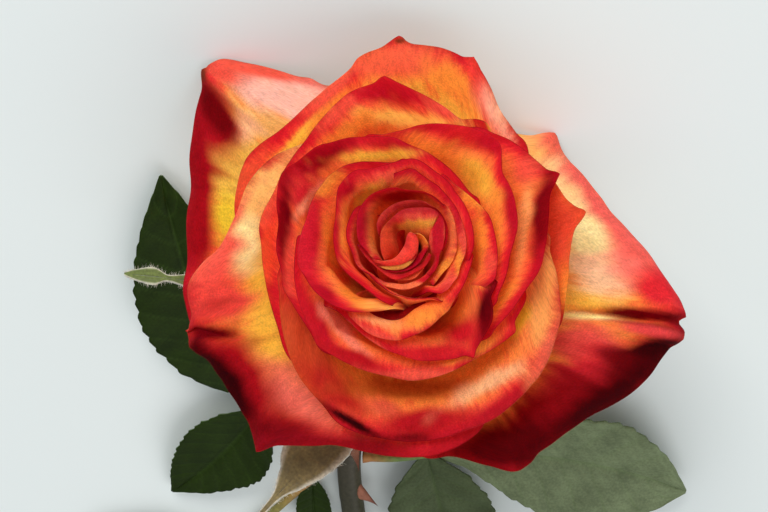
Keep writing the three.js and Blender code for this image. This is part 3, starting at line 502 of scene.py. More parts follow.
def leaflet_object(seed, foot, tip, width, bow=0, roll=0, rise=0, blunt=1, pale=0):
    """A toothed leaflet of a half width, with its midrib and veins pressed in and its skin quilted between."""
    foot, tip = np.array(foot, float), np.array(tip, float)
    length = np.linalg.norm(tip - foot)
    onward = (tip - foot) / length
    level = unit(np.cross([0, 0, 1.0], onward))
    tilt = math.radians(roll)
    side = level * math.cos(tilt) + np.cross(onward, level) * math.sin(tilt)
    up = np.cross(onward, side)
    s = np.linspace(0, 1, TEETH * TOOTH["rows"] + 1)[None, :]
    share = np.linspace(-1, 1, LEAFLET_COLUMNS)[:, None]
    phase = (s * TEETH) % 1
    tooth = np.where(phase < TOOTH["crest"], phase / TOOTH["crest"], (1 - phase) / (1 - TOOTH["crest"]))
    notched = 1 - TOOTH["depth"] * np.abs(share) ** 8 * (1 - tooth)
    half = width * np.interp(s**blunt, *zip(*LEAFLET_OUTLINE)) * notched
    swing = 4 * s * (1 - s)
    onset = np.clip(s * length / 3, 0, 1)
    sweep = VEIN_SWEEP * np.abs(share) * width / length
    vein_gap = np.abs(((s - sweep) * (VEINS + 1.5)) % 1 - 0.5) * 2
    quilt = (1 - vein_gap**3) * (1 - np.exp(-(share / 0.1) ** 2)) * onset
    midrib = np.exp(-(share / 0.035) ** 2)
    waved = waves(seed, (s * length + share * 0, share * width + s * 0), 5, 9, 26) * share**2 * 0.5
    height = (LEAFLET_FOLD * np.abs(share) * half + rise * swing - MIDRIB_DEPTH * midrib * onset
              + (QUILTING * quilt + waved) * smooth(half, 1, 6))
    points = (foot + (s * length)[..., None] * onward + (share * half + bow * swing)[..., None] * side
              + height[..., None] * up)
    points[..., 2] = np.maximum(points[..., 2], LEAF_THICKNESS / 2 + LEAST_CLEARANCE)
    vein = np.clip(0.75 * smooth(vein_gap, 0.86, 1.0) + midrib, 0, 1)[..., None]
    mottle = 1 + 0.12 * waves(seed + 3, (s * length + share * 0, share * width + s * 0), 6, 3, 20)[..., None]
    upper = mixed(mixed(LEAF_DARK, LEAF_LIT, pale), LEAF_VEIN + LEAF_LIT * pale * 0.6, 0.45 * vein) * mottle
    under = mixed(LEAF_UNDER, LEAF_VEIN, 0.5 * vein) * mottle
    places = (share * half, s * length + share * 0)
    marks = {"tint": (under[::-1], upper[::-1])}
    return blade_object("leaflet", points[::-1] - MIDDLE, LEAF_THICKNESS, places, marks, leaf_skin)


def rachis_object(route):
    """A petiole and its rachis, grooved along the top, swollen and red where it leaves the stem."""
    places, headings = bar_curve(route, RACHIS["spans"])
    onward = np.linspace(0, 1, len(places))
    thick = RACHIS["radius"] * (1 + RACHIS["swollen"] * (1 - smooth(onward, 0, 0.15)))
    grooved = 1 - RACHIS["groove"] * np.exp(-((turns(RACHIS["sides"]) - math.pi * 1.5) / 0.5) ** 2)
    rings = tube_points(places, headings, thick[:, None] * grooved, RACHIS["sides"])
    rings[..., 2] = np.maximum(rings[..., 2], 0.1)
    tint = mixed(PETIOLE_RED, PETIOLE_GREEN, smooth(onward, 0.05, 0.6)[:, None, None])
    return ringed_object("rachis", rings - MIDDLE, tint, stem_skin)


for number, (name, leaf) in enumerate(LEAVES.items()):
    grown = [rachis_object(leaf["rachis"])]
    grown += [leaflet_object(10 * number + k, **leaflet) for k, leaflet in enumerate(leaf["leaflets"])]
    made = joined(name + "_grown", grown)
    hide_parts(name)
    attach(made, "root")

# Open petals. Each is a soft blade that grows from the top of the hip on a narrow claw, leans out from the
# bloom's axis and flares at its rim. They lie in a swirl, each over its neighbour, and press each other apart.
EYE_HEIGHT = 46
EYE = BASE + EYE_HEIGHT * OUT
CAMERA_RISE = math.radians(52)
SIGHT_TILT = CAMERA_RISE - BLOOM_TILT
SIGHT_DISTANCE = 435
TO_CAMERA = np.array([0.0, -math.cos(CAMERA_RISE), math.sin(CAMERA_RISE)])
IMAGE_UP = np.array([0.0, -math.sin(CAMERA_RISE), -math.cos(CAMERA_RISE)])
IMAGE_RIGHT = np.array([-1.0, 0.0, 0.0])
PICTURE_WIDTH = 768
PICTURE_CENTRE = (384, 256)
EYE_IN_PICTURE = (412, 248)
MM_PER_PIXEL = 0.2
CAMERA_PLACE = (EYE + SIGHT_DISTANCE * TO_CAMERA
                - (EYE_IN_PICTURE[0] - PICTURE_CENTRE[0]) * MM_PER_PIXEL * IMAGE_RIGHT
                - (PICTURE_CENTRE[1] - EYE_IN_PICTURE[1]) * MM_PER_PIXEL * IMAGE_UP)
CLAW_START = 7.6
CLAW_WIDTH = 0.14
WIDENING = 1.6
MIDDLING_LENGTH = 48
OPEN_BY = 0.27
CUP_BULGE = 0.45
STRAIGHT_BULGE = 0.12
STRAIGHT_LEAN = 50
PETAL_THICKNESS = 0.34
LAYER_STEP = {"rim": 1.3, "body": 2.0}
WIDE_ROOM = 9.0
TURN_STEP = 2
AZIMUTHS = np.arange(0, 360, TURN_STEP)
DIVE = [(0, 0.97), (7, 0.9), (15, 0.78), (24, 0.6)]
CORAL = paint(226, 78, 62)
CRIMSON = paint(156, 12, 32)
DARK_RED = paint(84, 0, 10)
BLACK_RED = paint(30, 0, 3)
ORANGE = paint(238, 132, 52)
GOLD = paint(240, 178, 66)
YELLOW = paint(232, 186, 52)
CREAM = paint(250, 216, 150)
PINK = paint(244, 160, 132)
BROWN = paint(96, 40, 24)

# The petals from the inside out. Azimuths are in degrees round the eye of the bloom, as the camera sees them.
#   claw     lean of the claw from the bloom's axis, in degrees
#   rim      azimuth, mm from the eye, and the share of the length that is left where a side dives under
#   height   azimuth, and the rim's height over the petals' base
#   flare    azimuth, and the width in mm of the margin that turns out
#   bend     azimuth, and the degrees by which that margin turns
#   tips     azimuth, mm by which a point stands out, and its half width in degrees
#   full_at  share of the way up by which the claw has widened to the whole petal, 0.7 where it isn't given
#   margin   how many times as deep as in the lists of shades below the hem's colours reach
#   warm     how much of the furled petals' colours, with their painted shade deep down, lies over the skin
#   flushes  patches of the petal's own colour, of painted shade and of painted highlight: place in the picture,
#            reach across and up in pixels, turn in degrees, colour, strength
#   creases  two places in the picture, half width in pixels, and mm by which the face is lifted to the eye
PETALS = {
    "petal_cup_right": {
        "claw": 25,
        "height": [(290, 46), (360, 46), (440, 46)],
        "rim": [(291, 9.4, 0.8), (298, 10.3), (305, 11), (325, 11), (340, 10.4), (358, 11), (387, 11.4),
            (401, 12), (414, 12.6), (426, 13.6), (440, 14.6), (450, 16), (460, 15.6), (470, 16, 0.8)],
        "flare": [(291, 3.4), (470, 3.2)],
        "bend": [(291, 75), (340, 60), (470, 50)],
        "margin": 0.35, "full_at": 0.3, "warm": 1,
        "flushes_and_painted_light": [((464, 240), (5, 24), 0, CORAL, 0.6), ((452, 284), (14, 9), 45, CORAL, 0.9),
            ((459, 262), (5, 14), 0, ORANGE, 0.7), ((446, 290), (14, 4), 35, CRIMSON, 0.5)],
    },
    "petal_cup_left": {
        "claw": 28,
        "height": [(140, 46), (220, 47), (300, 46)],
        "rim": [(140, 14.2, 0.8), (150, 14), (167, 13.6), (180, 12.6), (194, 11.6), (205, 10.8), (214, 10),
            (229, 10), (246, 10.2), (270, 10), (281, 10.2), (291, 11), (300, 12.6, 0.75)],
        "flare": [(140, 2.8), (300, 2.4)],
        "bend": [(140, 55), (220, 30), (265, -5), (300, 10)],
        "margin": 0.35, "full_at": 0.3, "warm": 1,
        "flushes_and_painted_light": [((360, 250), (5, 24), 0, CORAL, 0.6), ((395, 298), (26, 5), -8, CORAL, 0.6)],
    },
    "petal_ring_top": {
        "claw": 33,
        "height": [(350, 46), (450, 47), (500, 47), (600, 46)],
        "rim": [(350, 12.2, 0.8), (360, 12.1), (383, 12.9), (397, 13.6), (412, 14.3), (420, 15.2),
            (433, 16.3), (443, 17.6), (450, 18), (462, 17.6), (471, 17.6), (479, 18.2), (485, 19.2),
            (490, 19.5), (497, 19.4), (503, 19), (514, 17.4), (522, 16.6), (540, 15.6), (550, 15), (560, 14),
            (570, 13), (580, 12.4), (598, 12.4), (608, 12.4, 0.8)],
        "flare": [(350, 4.5), (450, 6), (550, 4.5), (608, 4)],
        "bend": [(350, 60), (450, 55), (550, 60), (608, 60)],
        "margin": 0.5, "full_at": 0.35, "warm": 1,
        "flushes_and_painted_light": [((346, 188), (15, 9), 50, CRIMSON, 0.85), ((392, 176), (28, 6), 4, CORAL, 0.5),
            ((366, 196), (18, 7), 42, GOLD, 0.8), ((344, 232), (6, 28), 0, ORANGE, 0.7),
            ((336, 236), (4, 24), 0, CRIMSON, 0.7)],
    },
    "petal_ring_bottom": {
        "claw": 38.5,
        "height": [(226, 43), (280, 45), (350, 45)],
        "rim": [(226, 19, 0.8), (231, 18.8), (237, 19), (244, 19.3), (258, 19.1), (271, 17.7), (277, 17),
            (287, 15.8), (298, 14.6), (311, 13.2), (322, 12.8), (335, 12.4), (348, 12.2), (354, 12.8, 0.8)],
        "flare": [(226, 5), (270, 7.5), (320, 6.5), (354, 4)],
        "bend": [(226, 70), (270, 92), (320, 85), (354, 60)],
        "margin": 0.35, "full_at": 0.35, "warm": 1,
        "flushes_and_painted_light": [((382, 320), (26, 7), -14, paint(250, 150, 96), 0.85),
            ((424, 316), (30, 9), 22, ORANGE, 0.7), ((370, 332), (26, 5), -22, CORAL, 0.6)],
    },
    "petal_ring_left": {
        "claw": 36,
        "height": [(95, 45), (170, 46), (250, 45)],
        "rim": [(95, 18.9, 0.75), (103, 17.6), (114, 19), (121, 20.2), (128, 21.2), (135, 21.8), (143, 22.2),
            (157, 22.4), (165, 22.2), (180, 23), (188, 23.2), (195, 22.4), (203, 21.6), (210, 20.6),
            (217, 19.5), (224, 18.3), (230, 16.9), (238, 15), (248, 13.2), (256, 12.6, 0.8)],
        "flare": [(95, 5), (150, 8), (210, 8), (256, 4)],
        "bend": [(95, 55), (150, 62), (210, 80), (256, 80)],
        "margin": 0.7, "full_at": 0.35, "warm": 0.9,
        "flushes_and_painted_light": [((309, 240), (13, 40), 0, paint(186, 26, 42), 0.92),
            ((329, 245), (5, 26), 8, ORANGE, 0.85), ((302, 285), (4, 10), 0, DARK_RED, 0.6),
            ((356, 298), (24, 7), -35, ORANGE, 0.9), ((324, 294), (16, 7), -38, CRIMSON, 0.85),
            ((384, 306), (24, 6), -10, paint(250, 160, 80), 0.8), ((330, 184), (18, 8), 40, ORANGE, 0.7)],
        "creases": [((300, 266), (325, 268), 4, -0.6)],
    },
    "petal_fold_right": {
        "claw": 41,
        "height": [(330, 43), (380, 44), (430, 44)],
        "rim": [(333, 17.2, 0.85), (339, 17.8), (345, 17.7), (360, 17.2), (372, 16.8), (383, 16.9),
            (394, 16.2), (405, 15.6), (418, 15.6), (428, 16.9, 0.8)],
        "flare": [(333, 5), (380, 6.5), (428, 5)],
        "bend": [(333, 85), (360, 62), (428, 55)],
        "margin": 0.4, "full_at": 0.4, "warm": 0.9,
        "flushes_and_painted_light": [((480, 235), (7, 34), 0, ORANGE, 0.8), ((472, 195), (14, 16), 30, ORANGE, 0.8),
            ((490, 262), (6, 10), 0, CORAL, 0.7)],
    },
    "petal_fold_bottom": {
        "claw": 44,
        "height": [(213, 39), (235, 40), (252, 42), (300, 37), (320, 41), (345, 42)],
        "rim": [(213, 21.6, 0.75), (221, 19.6), (230, 19.4), (237, 19.8), (247, 20.4), (257, 21.2),
            (264, 21.7), (271, 22.2), (281, 23), (291, 23.8), (296, 24.1), (299.5, 24.8), (304, 23.8),
            (310, 22.8), (318, 21.8), (324, 20.2), (328, 18.9), (334, 18.6), (340, 18.9, 0.75)],
        "flare": [(213, 5), (250, 6), (275, 6), (300, 9), (320, 11), (340, 8)],
        "bend": [(213, 75), (250, 88), (300, 92), (332, 90), (345, 75)],
        "tips": [(299.5, 0.6, 3)],
        "margin": 0.5, "full_at": 0.4, "warm": 0.9,
        # The pale pink strip on the rolled lip is a painted highlight.
        "flushes_and_painted_light": [((305, 300), (12, 44), 14, CRIMSON, 0.9), ((299, 290), (5, 34), 10, BLACK_RED, 0.6),
            ((342, 328), (20, 6), -45, paint(236, 128, 104), 0.75), ((362, 344), (34, 8), -28, CORAL, 0.7),
            ((487, 312), (11, 36), -12, paint(64, 0, 8), 0.95),
            ((462, 332), (20, 16), 40, paint(186, 26, 36), 0.9),
            ((430, 353), (34, 7), 8, paint(186, 28, 36), 0.9), ((452, 312), (14, 14), 30, ORANGE, 0.7),
            ((480, 282), (8, 8), 0, ORANGE, 0.5)],
    },
    "petal_swirl_left": {
        "claw": 50.5,
        "height": [(36, 43), (100, 44), (150, 43), (200, 39), (230, 34)],
        "rim": [(36, 17.4, 0.75), (45, 16.4), (60, 17.4), (71, 18.4), (81, 19.6), (90, 20.6), (99, 22.6),
            (106, 23.4), (113, 24.3), (119, 25.4), (126, 26.4), (133, 27.8), (143, 28.6), (149.5, 30),
            (154, 29.8), (158, 29.2), (163, 28.4), (170, 27.2), (180, 27.2), (190, 26.6), (197, 27),
            (206, 26.4), (219, 26.3), (228, 28, 0.8)],
        "flare": [(36, 4), (100, 6.5), (140, 9), (180, 6.5), (228, 5)],
        "bend": [(36, 50), (100, 58), (150, 85), (190, 62), (228, 70)],
        "margin": 0.6, "warm": 0.8,
        "flushes_and_painted_light": [((316, 158), (44, 14), 28, paint(124, 4, 20), 0.95),
            ((304, 196), (20, 24), 30, paint(190, 36, 46), 0.85), ((378, 156), (40, 6), 4, GOLD, 0.85),
            ((308, 202), (6, 22), -42, paint(244, 150, 112), 0.85),
            ((284, 224), (9, 46), 0, paint(80, 0, 10), 0.93), ((291, 262), (7, 28), 0, CORAL, 0.7),
            ((400, 144), (40, 4), 0, CRIMSON, 0.5)],
    },
    "petal_swirl_right": {
        "claw": 50.5,
        "height": [(327, 41), (400, 43), (472, 42)],
        "rim": [(327, 20.7, 0.75), (333, 19.8), (349, 19.8), (358, 20), (366, 20.8), (371, 21.6), (379, 22.4),
            (386, 23), (393, 23.4), (400, 23.8), (405, 25.7), (406.5, 26.5), (409, 27.3), (413, 27.6),
            (419, 27.4), (429, 26.6), (439, 25.6), (447, 24.8), (453, 24.1), (464, 23.6), (472, 25.4, 0.75)],
        "flare": [(327, 5), (360, 6), (395, 9), (430, 8.5), (472, 5)],
        "bend": [(327, 70), (390, 58), (430, 55), (472, 50)],
        "margin": 0.45, "warm": 0.8,
        "flushes_and_painted_light": [((440, 158), (40, 14), -28, ORANGE, 0.8),
            ((462, 136), (44, 11), -22, paint(184, 26, 34), 0.8), ((476, 180), (14, 26), 30, GOLD, 0.8),
            ((492, 142), (10, 20), 50, CRIMSON, 0.75), ((512, 205), (8, 40), 4, CRIMSON, 0.85),
            ((496, 225), (8, 30), 0, ORANGE, 0.7), ((430, 126), (26, 5), 0, CRIMSON, 0.6)],
    },
    "petal_swirl_bottom": {
        "claw": 50,
        "height": [(170, 41), (225, 40), (270, 37), (321, 34), (336, 36)],
        "rim": [(172, 23.6, 0.75), (180, 23.4), (188, 23.9), (200, 24.8), (212, 25.6), (220, 26.2),
            (225, 27.2), (230, 27), (242, 26.6), (259, 26.2), (270, 26.6), (283, 26.2), (299, 25.6),
            (310, 26), (317, 26.5), (321.5, 26.7), (324.5, 25.4), (330, 25.1), (338, 25.6, 0.75)],
        "flare": [(172, 5), (225, 7), (270, 6.5), (321, 8), (338, 6)],
        "bend": [(172, 60), (225, 80), (270, 88), (321, 75), (338, 60)],
        "margin": 0.5, "warm": 0.8,
        # The two pale pink strips on the rolled lip are painted highlights.
        "flushes_and_painted_light": [((318, 330), (13, 48), 24, paint(170, 20, 34), 0.93),
            ((333, 318), (20, 6), -45, paint(236, 128, 104), 0.75),
            ((347, 338), (24, 6), -42, paint(244, 130, 104), 0.8),
            ((352, 358), (44, 7), -24, paint(160, 18, 28), 0.9), ((470, 350), (34, 7), 26, ORANGE, 0.8),
            ((420, 374), (50, 6), 0, CORAL, 0.8)],
    },
    "petal_wing_right": {
        "claw": 53,
        "height": [(309, 37), (350, 39), (386, 35), (422, 38)],
        "rim": [(311, 24.2, 0.7), (317, 23.3), (325, 23.6), (333, 24), (340, 24.6), (350, 26), (361, 26.9),
            (371, 28), (376, 28.8), (381, 29.9), (386.4, 32.3), (390, 31.4), (395, 30.5), (406, 29.6),
            (414, 28.4), (422, 28.8, 0.75)],
        "flare": [(311, 6), (350, 8), (386, 10), (422, 6)],
        "bend": [(311, 70), (350, 62), (386, 85), (400, 58), (422, 50)],
        "tips": [(386.4, 1.2, 4)],
        "margin": 0.6, "warm": 0.7,
        "flushes_and_painted_light": [((546, 212), (14, 50), -8, paint(100, 2, 12), 0.96),
            ((523, 226), (6, 44), -8, paint(244, 150, 88), 0.85), ((500, 300), (28, 7), 52, ORANGE, 0.9),
            ((526, 170), (14, 16), -40, CORAL, 0.8), ((540, 262), (7, 22), -20, CRIMSON, 0.6)],
    },
    "petal_crest": {
        "claw": 61,
        "height": [(52, 37), (98, 41), (140, 38), (171, 35), (232, 28)],
        "rim": [(60, 30.6, 0.85), (68.5, 27.8), (76, 29), (84, 30.6), (90, 32), (98.7, 34.3), (103, 34),
            (112, 33.5), (122, 32), (129, 31), (136, 30.2), (150, 29.9), (160, 30), (171, 30.8), (180, 30),
            (190, 30), (200, 30.2), (210, 31), (222, 33.8, 0.85)],
        "flare": [(52, 7), (98, 9), (160, 8), (232, 7)],
        "bend": [(52, 48), (98, 50), (160, 52), (232, 60)],
        "tips": [(98.7, 0.6, 4)],
        "margin": 0.9, "warm": 0.5,
        "flushes_and_painted_light": [((390, 92), (50, 14), -4, paint(160, 14, 30), 0.9),
            ((404, 119), (56, 8), -6, paint(255, 178, 84), 0.95), ((348, 132), (40, 10), 36, ORANGE, 0.8),
            ((338, 112), (24, 8), 44, CORAL, 0.8), ((444, 108), (18, 9), -30, CORAL, 0.7),
            ((268, 250), (8, 40), 0, paint(216, 66, 40), 0.9), ((276, 200), (10, 30), -30, CORAL, 0.7)],
    },
    "petal_front": {
        "claw": 58,
        "height": [(182, 34), (197, 35), (240, 30), (273, 27), (300, 28), (335, 32), (374, 35)],
        "rim": [(190, 28, 0.85), (197.5, 27.8), (203, 28.6), (210, 30), (222, 32.6), (230, 34.4), (240, 36),
            (247, 38), (255, 38.6), (262, 38.4), (270, 39), (277, 38.7), (286, 38), (294, 38.2), (304, 37),
            (316, 36.2), (326, 34.4), (336, 32.8), (347, 30.2), (358.4, 27.8), (366, 28.8, 0.8)],
        "flare": [(182, 7), (230, 9), (273, 10), (330, 10), (374, 7)],
        "bend": [(182, 60), (240, 68), (274, 96), (300, 74), (374, 58)],
        "margin": 0.7, "warm": 0.4,
        # The two near-black strips along the bottom margin are painted shade.
        "flushes_and_painted_light": [((300, 350), (26, 62), 22, paint(184, 68, 36), 0.92),
            ((336, 392), (42, 15), -36, paint(158, 32, 26), 0.9),
            ((412, 390), (62, 11), 0, paint(176, 92, 34), 0.92),
            ((384, 408), (20, 11), -20, paint(204, 84, 56), 0.9),
            ((424, 422), (48, 14), 6, paint(164, 20, 28), 0.95),
            ((500, 412), (52, 13), 34, paint(168, 22, 34), 0.93),
            ((488, 383), (40, 9), 28, paint(236, 164, 118), 0.85),
            ((542, 300), (14, 56), -8, paint(240, 150, 82), 0.9), ((517, 320), (9, 18), -30, YELLOW, 0.9),
            ((546, 352), (8, 30), -24, paint(226, 90, 70), 0.7), ((350, 421), (40, 6), -30, BLACK_RED, 0.95),
            ((408, 438), (22, 5), 0, BLACK_RED, 0.6)],
        "creases": [((409, 436), (421, 424), 4, -1.0), ((464, 404), (464, 424), 3, -0.5)],
    },
    "petal_small_right": {
        "claw": 63,
        "height": [(322, 26), (341, 30), (371, 32), (390, 31)],
        "rim": [(332, 34.5, 0.8), (341, 32.6), (349, 32), (356, 31.8), (366, 32.8), (371.6, 34.8), (374, 34),
            (378, 32.6), (384, 31.8), (390, 32.4, 0.75)],
        "flare": [(322, 4), (390, 4)],
        "bend": [(322, 36), (390, 30)],
        "tips": [(371.6, 1.0, 3.5)],
        "margin": 1.0,
        "flushes_and_painted_light": [((560, 235), (30, 60), 0, paint(202, 68, 44), 0.97),
            ((565, 290), (12, 20), 0, ORANGE, 0.6)],
    },
    "petal_top": {
        "claw": 69,
        "height": [(36, 30), (72, 36), (93, 36), (116, 35), (140, 29), (165, 24), (190, 21)],
        "rim": [(42, 32.4, 0.8), (48, 31.4), (57, 33), (64, 36.2), (69, 38.6), (71.7, 39.2), (75, 39.8),
            (81, 40.6), (90, 40.9), (93.2, 42), (99, 40.6), (105, 39.8), (109, 37.8), (116, 36.4),
            (126, 35.4), (137, 35.2), (148.6, 37), (154, 37.2), (166, 36.4), (175, 35.6, 0.85)],
        "flare": [(36, 7), (90, 9), (190, 8)],
        "bend": [(36, 40), (90, 44), (190, 40)],
        "tips": [(71.7, 1.3, 3), (93.2, 0.6, 4)],
        "margin": 0.6,
        "flushes_and_painted_light": [((300, 138), (50, 7), 48, GOLD, 0.9), ((330, 110), (34, 8), 46, ORANGE, 0.8),
            ((246, 182), (12, 34), -30, paint(220, 76, 48), 0.97), ((330, 90), (44, 9), 44, CORAL, 0.9),
            ((395, 62), (44, 16), 4, paint(232, 92, 62), 0.9), ((452, 82), (24, 16), -34, ORANGE, 0.85),
            ((494, 112), (9, 34), 26, PINK, 0.7), ((474, 72), (8, 22), 16, paint(214, 52, 48), 0.7),
            ((400, 41), (6, 3), 0, BROWN, 0.9)],
        "creases": [((470, 70), (492, 118), 4, 0.5)],
    },
    "petal_lower_left": {
        "claw": 66,
        "height": [(125, 35), (140, 34), (165, 31), (180, 28), (199, 20), (232, 17), (252, 22), (277, 24),
            (300, 24)],
        "rim": [(127, 29.5, 0.7), (137, 30.4), (148, 33.6), (158, 35), (169, 35.7), (179, 38), (184, 41.6),
            (190, 45), (197, 45.8), (199.5, 48.2), (203, 48), (208, 46.4), (219, 46.6), (226, 47.6),
            (232.6, 50.4), (236, 47.8), (244, 44), (252, 41.8), (270, 41.8), (277, 41.6), (288, 40.8, 0.85)],
        "flare": [(125, 8), (200, 9), (298, 8)],
        "bend": [(125, 40), (190, 50), (232, 60), (298, 46)],
        "tips": [(199.5, 0.8, 2.4), (203.5, 0.7, 2), (232.6, 1.2, 4)],
        "margin": 1.0,
        # The dark red to near-black patches along the lower-left margin, across the bottom and in the fold are
        # painted shade over the petal's crimson.
        "flushes_and_painted_light": [((268, 300), (26, 90), 8, GOLD, 0.9),
            ((262, 196), (16, 60), -38, paint(246, 178, 104), 0.95), ((244, 244), (18, 30), -10, CREAM, 0.95),
            ((212, 262), (22, 38), -26, paint(230, 84, 70), 0.93),
            ((220, 300), (32, 24), 0, paint(222, 70, 60), 0.93),
            ((222, 232), (8, 46), -36, paint(230, 84, 70), 0.9),
            ((292, 374), (48, 22), -36, paint(226, 120, 84), 0.85), ((272, 344), (26, 16), -20, GOLD, 0.85),
            ((300, 402), (54, 24), -24, paint(226, 110, 92), 0.85),
            ((280, 428), (60, 16), -8, paint(150, 22, 26), 0.85),
            ((236, 378), (66, 32), -54, paint(140, 10, 20), 0.93),
            ((221, 381), (62, 17), -54, paint(38, 0, 4), 0.98),
            ((262, 436), (40, 16), 0, paint(96, 4, 12), 0.9),
            ((310, 446), (100, 13), -3, paint(120, 10, 22), 0.95),
            ((208, 333), (36, 7), -4, paint(96, 4, 14), 0.92),
            ((188, 310), (8, 22), 0, paint(200, 46, 48), 0.7)],
        "creases": [((186, 331), (236, 335), 6, -2.2), ((200, 318), (232, 322), 6, 0.9),
            ((200, 350), (250, 346), 9, 0.8), ((236, 322), (275, 328), 3, -0.5),
            ((262, 268), (240, 266), 2, -0.25)],
    },
    "petal_right": {
        "claw": 72,
        "height": [(262, 13), (300, 13), (345, 14), (380, 9.3), (398, 6), (408, 6.7), (428, 12)],
        "rim": [(272, 43, 0.85), (278.4, 42.2), (284, 43.6), (290, 46.2), (295, 49.2), (299, 49.2),
            (303, 48.2), (311, 48.6), (318, 49.8), (326, 52.4), (333, 54.4), (339, 55.6), (341.9, 57),
            (345.4, 57.2), (350, 55.2), (357, 49.8), (367, 43.1), (375, 40.1), (386, 37.1), (390, 36.5),
            (398.5, 36.5), (404, 33), (412, 31, 0.85)],
        "flare": [(264, 8), (340, 10), (424, 8)],
        "bend": [(264, 46), (320, 56), (345, 50), (390, 36), (424, 36)],
        "tips": [(398.5, 1.6, 4), (341.9, 0.8, 2.4), (346.5, 0.7, 2)],
        "margin": 1.1,
        # The near-black patches down the lower lobe, in the fold and below it are painted shade.
        "flushes_and_painted_light": [((566, 190), (30, 52), 30, paint(250, 186, 130), 0.95),
            ((528, 146), (34, 14), -4, paint(255, 172, 100), 0.95),
            ((588, 240), (28, 36), 30, paint(240, 206, 148), 0.95),
            ((598, 274), (36, 20), -20, paint(236, 176, 138), 0.88),
            ((632, 262), (26, 24), -50, paint(240, 112, 98), 0.85),
            ((607, 208), (104, 16), -53, paint(232, 92, 82), 0.93),
            ((560, 140), (10, 24), -30, paint(230, 84, 70), 0.6),
            ((658, 290), (26, 22), -44, paint(206, 38, 46), 0.9),
            ((584, 344), (46, 26), -10, paint(212, 78, 68), 0.95),
            ((556, 400), (34, 34), 30, paint(190, 52, 44), 0.9),
            ((590, 378), (46, 32), 20, paint(184, 34, 44), 0.93), ((646, 358), (54, 24), 24, BLACK_RED, 0.98),
            ((556, 416), (84, 36), 28, paint(112, 6, 14), 0.96),
            ((602, 408), (80, 22), 38, paint(46, 0, 4), 0.97),
            ((512, 446), (70, 26), 6, paint(60, 0, 5), 0.97),
            ((640, 314), (54, 7), -3, paint(84, 0, 8), 0.96),
            ((646, 331), (36, 5), -8, paint(206, 64, 64), 0.8), ((584, 316), (30, 4), -2, CREAM, 0.85)],
        "creases": [((566, 313), (684, 322), 6, -2.2), ((590, 300), (668, 306), 8, 0.9),
            ((600, 328), (672, 336), 6, 1.3), ((574, 262), (606, 252), 5, -0.35),
            ((586, 276), (622, 268), 5, 0.4)],
    },
    "petal_upper_left": {
        "claw": 79,
        "height": [(100, 24), (116, 23), (139, 21.6), (192, 15), (212, 13)],
        "rim": [(102, 36, 0.7), (116, 36.8), (120, 40), (124, 42.2), (131, 49.4), (135, 53.8), (139.3, 54.6),
            (142.3, 52.8), (147, 51.4), (153, 49), (161, 46.9), (171, 45.4), (183, 44.8), (192, 46.4),
            (202, 48, 0.85)],
        "flare": [(102, 8), (140, 9), (212, 8)],
        "bend": [(102, 34), (140, 46), (170, 48), (212, 40)],
        "tips": [(139.3, 0.8, 3)],
        "margin": 1.0,
        # The dark crimson down the left margin is partly the petal's own crimson and partly painted shade.
        "flushes_and_painted_light": [((238, 172), (34, 66), 18, paint(224, 166, 74), 1),
            ((228, 216), (18, 26), 10, YELLOW, 0.9), ((288, 98), (54, 26), -18, paint(255, 176, 158), 0.97),
            ((272, 126), (20, 14), -30, paint(226, 158, 92), 0.8),
            ((246, 128), (14, 18), 10, paint(246, 172, 126), 0.85),
            ((258, 70), (66, 8), -12, paint(236, 84, 66), 0.93),
            ((197, 186), (17, 112), 1, paint(142, 9, 20), 0.98),
            ((213, 122), (25, 40), 24, paint(150, 12, 24), 0.97),
            ((214, 108), (12, 38), 30, paint(92, 0, 6), 0.95),
            ((196, 140), (9, 60), 2, paint(132, 6, 18), 0.6), ((222, 74), (18, 8), -20, CORAL, 0.85),
            ((203, 74), (4, 9), 0, BROWN, 0.9)],
        "creases": [((214, 176), (240, 180), 2.4, -0.4), ((214, 190), (238, 194), 2.4, -0.45),
            ((213, 203), (236, 206), 2.4, -0.45), ((213, 216), (234, 218), 2.4, -0.4),
            ((222, 164), (250, 166), 2.4, -0.3), ((240, 104), (262, 124), 4, 0.5),
            ((207, 68), (214, 74), 2.5, -0.8)],
    },
}
ROWS = 32
FLARE_ROWS = 20
ACROSS_SPANS = 7
FLARE_SHARE = 0.7
ROW_CROWDING = 1.25
HEADING_STEP = 0.8
BODY_SPREAD = (-16, -8, 0, 8, 16)
RIM_LEAN = (0.45, 0.95)
SPREADING_STEPS = 60
EVENED_AT = (4, 12, 30)
RETRACED = 0.85
MOST_RETRACED = 2.5
RUFFLE = 0.45
RIPPLE = 0.1
RESTING_HEIGHT = 0.2
# Painted glow: each petal gives off this share of its own colour as light, in place of light that passes
# through it.
PAINTED_THROUGH_GLOW = 0.06


def along(pairs, x):
    return np.interp(x, *zip(*pairs))


def rise(distance):
    """How far up a petal of middling length a place is, as a share."""
    return (distance - CLAW_START) / (MIDDLING_LENGTH - CLAW_START)


def bulge(lean, distance):
    """How much an upright petal bellies out, and a petal laid open doesn't, on its way up."""
    amount = np.clip(CUP_BULGE * (1 - lean / STRAIGHT_LEAN), -STRAIGHT_BULGE, CUP_BULGE)
    return 1 + amount * np.sin(math.pi * rise(distance))


def unseen(across, upward, h):
    """The place in the bloom's frame, at a height over its base, that is seen so far to the right of the eye
    and above it, in mm at the eye's depth."""
    across, upward = across / SIGHT_DISTANCE, upward / SIGHT_DISTANCE
    sine, cosine = math.sin(SIGHT_TILT), math.cos(SIGHT_TILT)
    reach = (EYE_HEIGHT + cosine * SIGHT_DISTANCE - h) / (cosine - sine * upward)
    return across * reach, (sine + cosine * upward) * reach - sine * SIGHT_DISTANCE


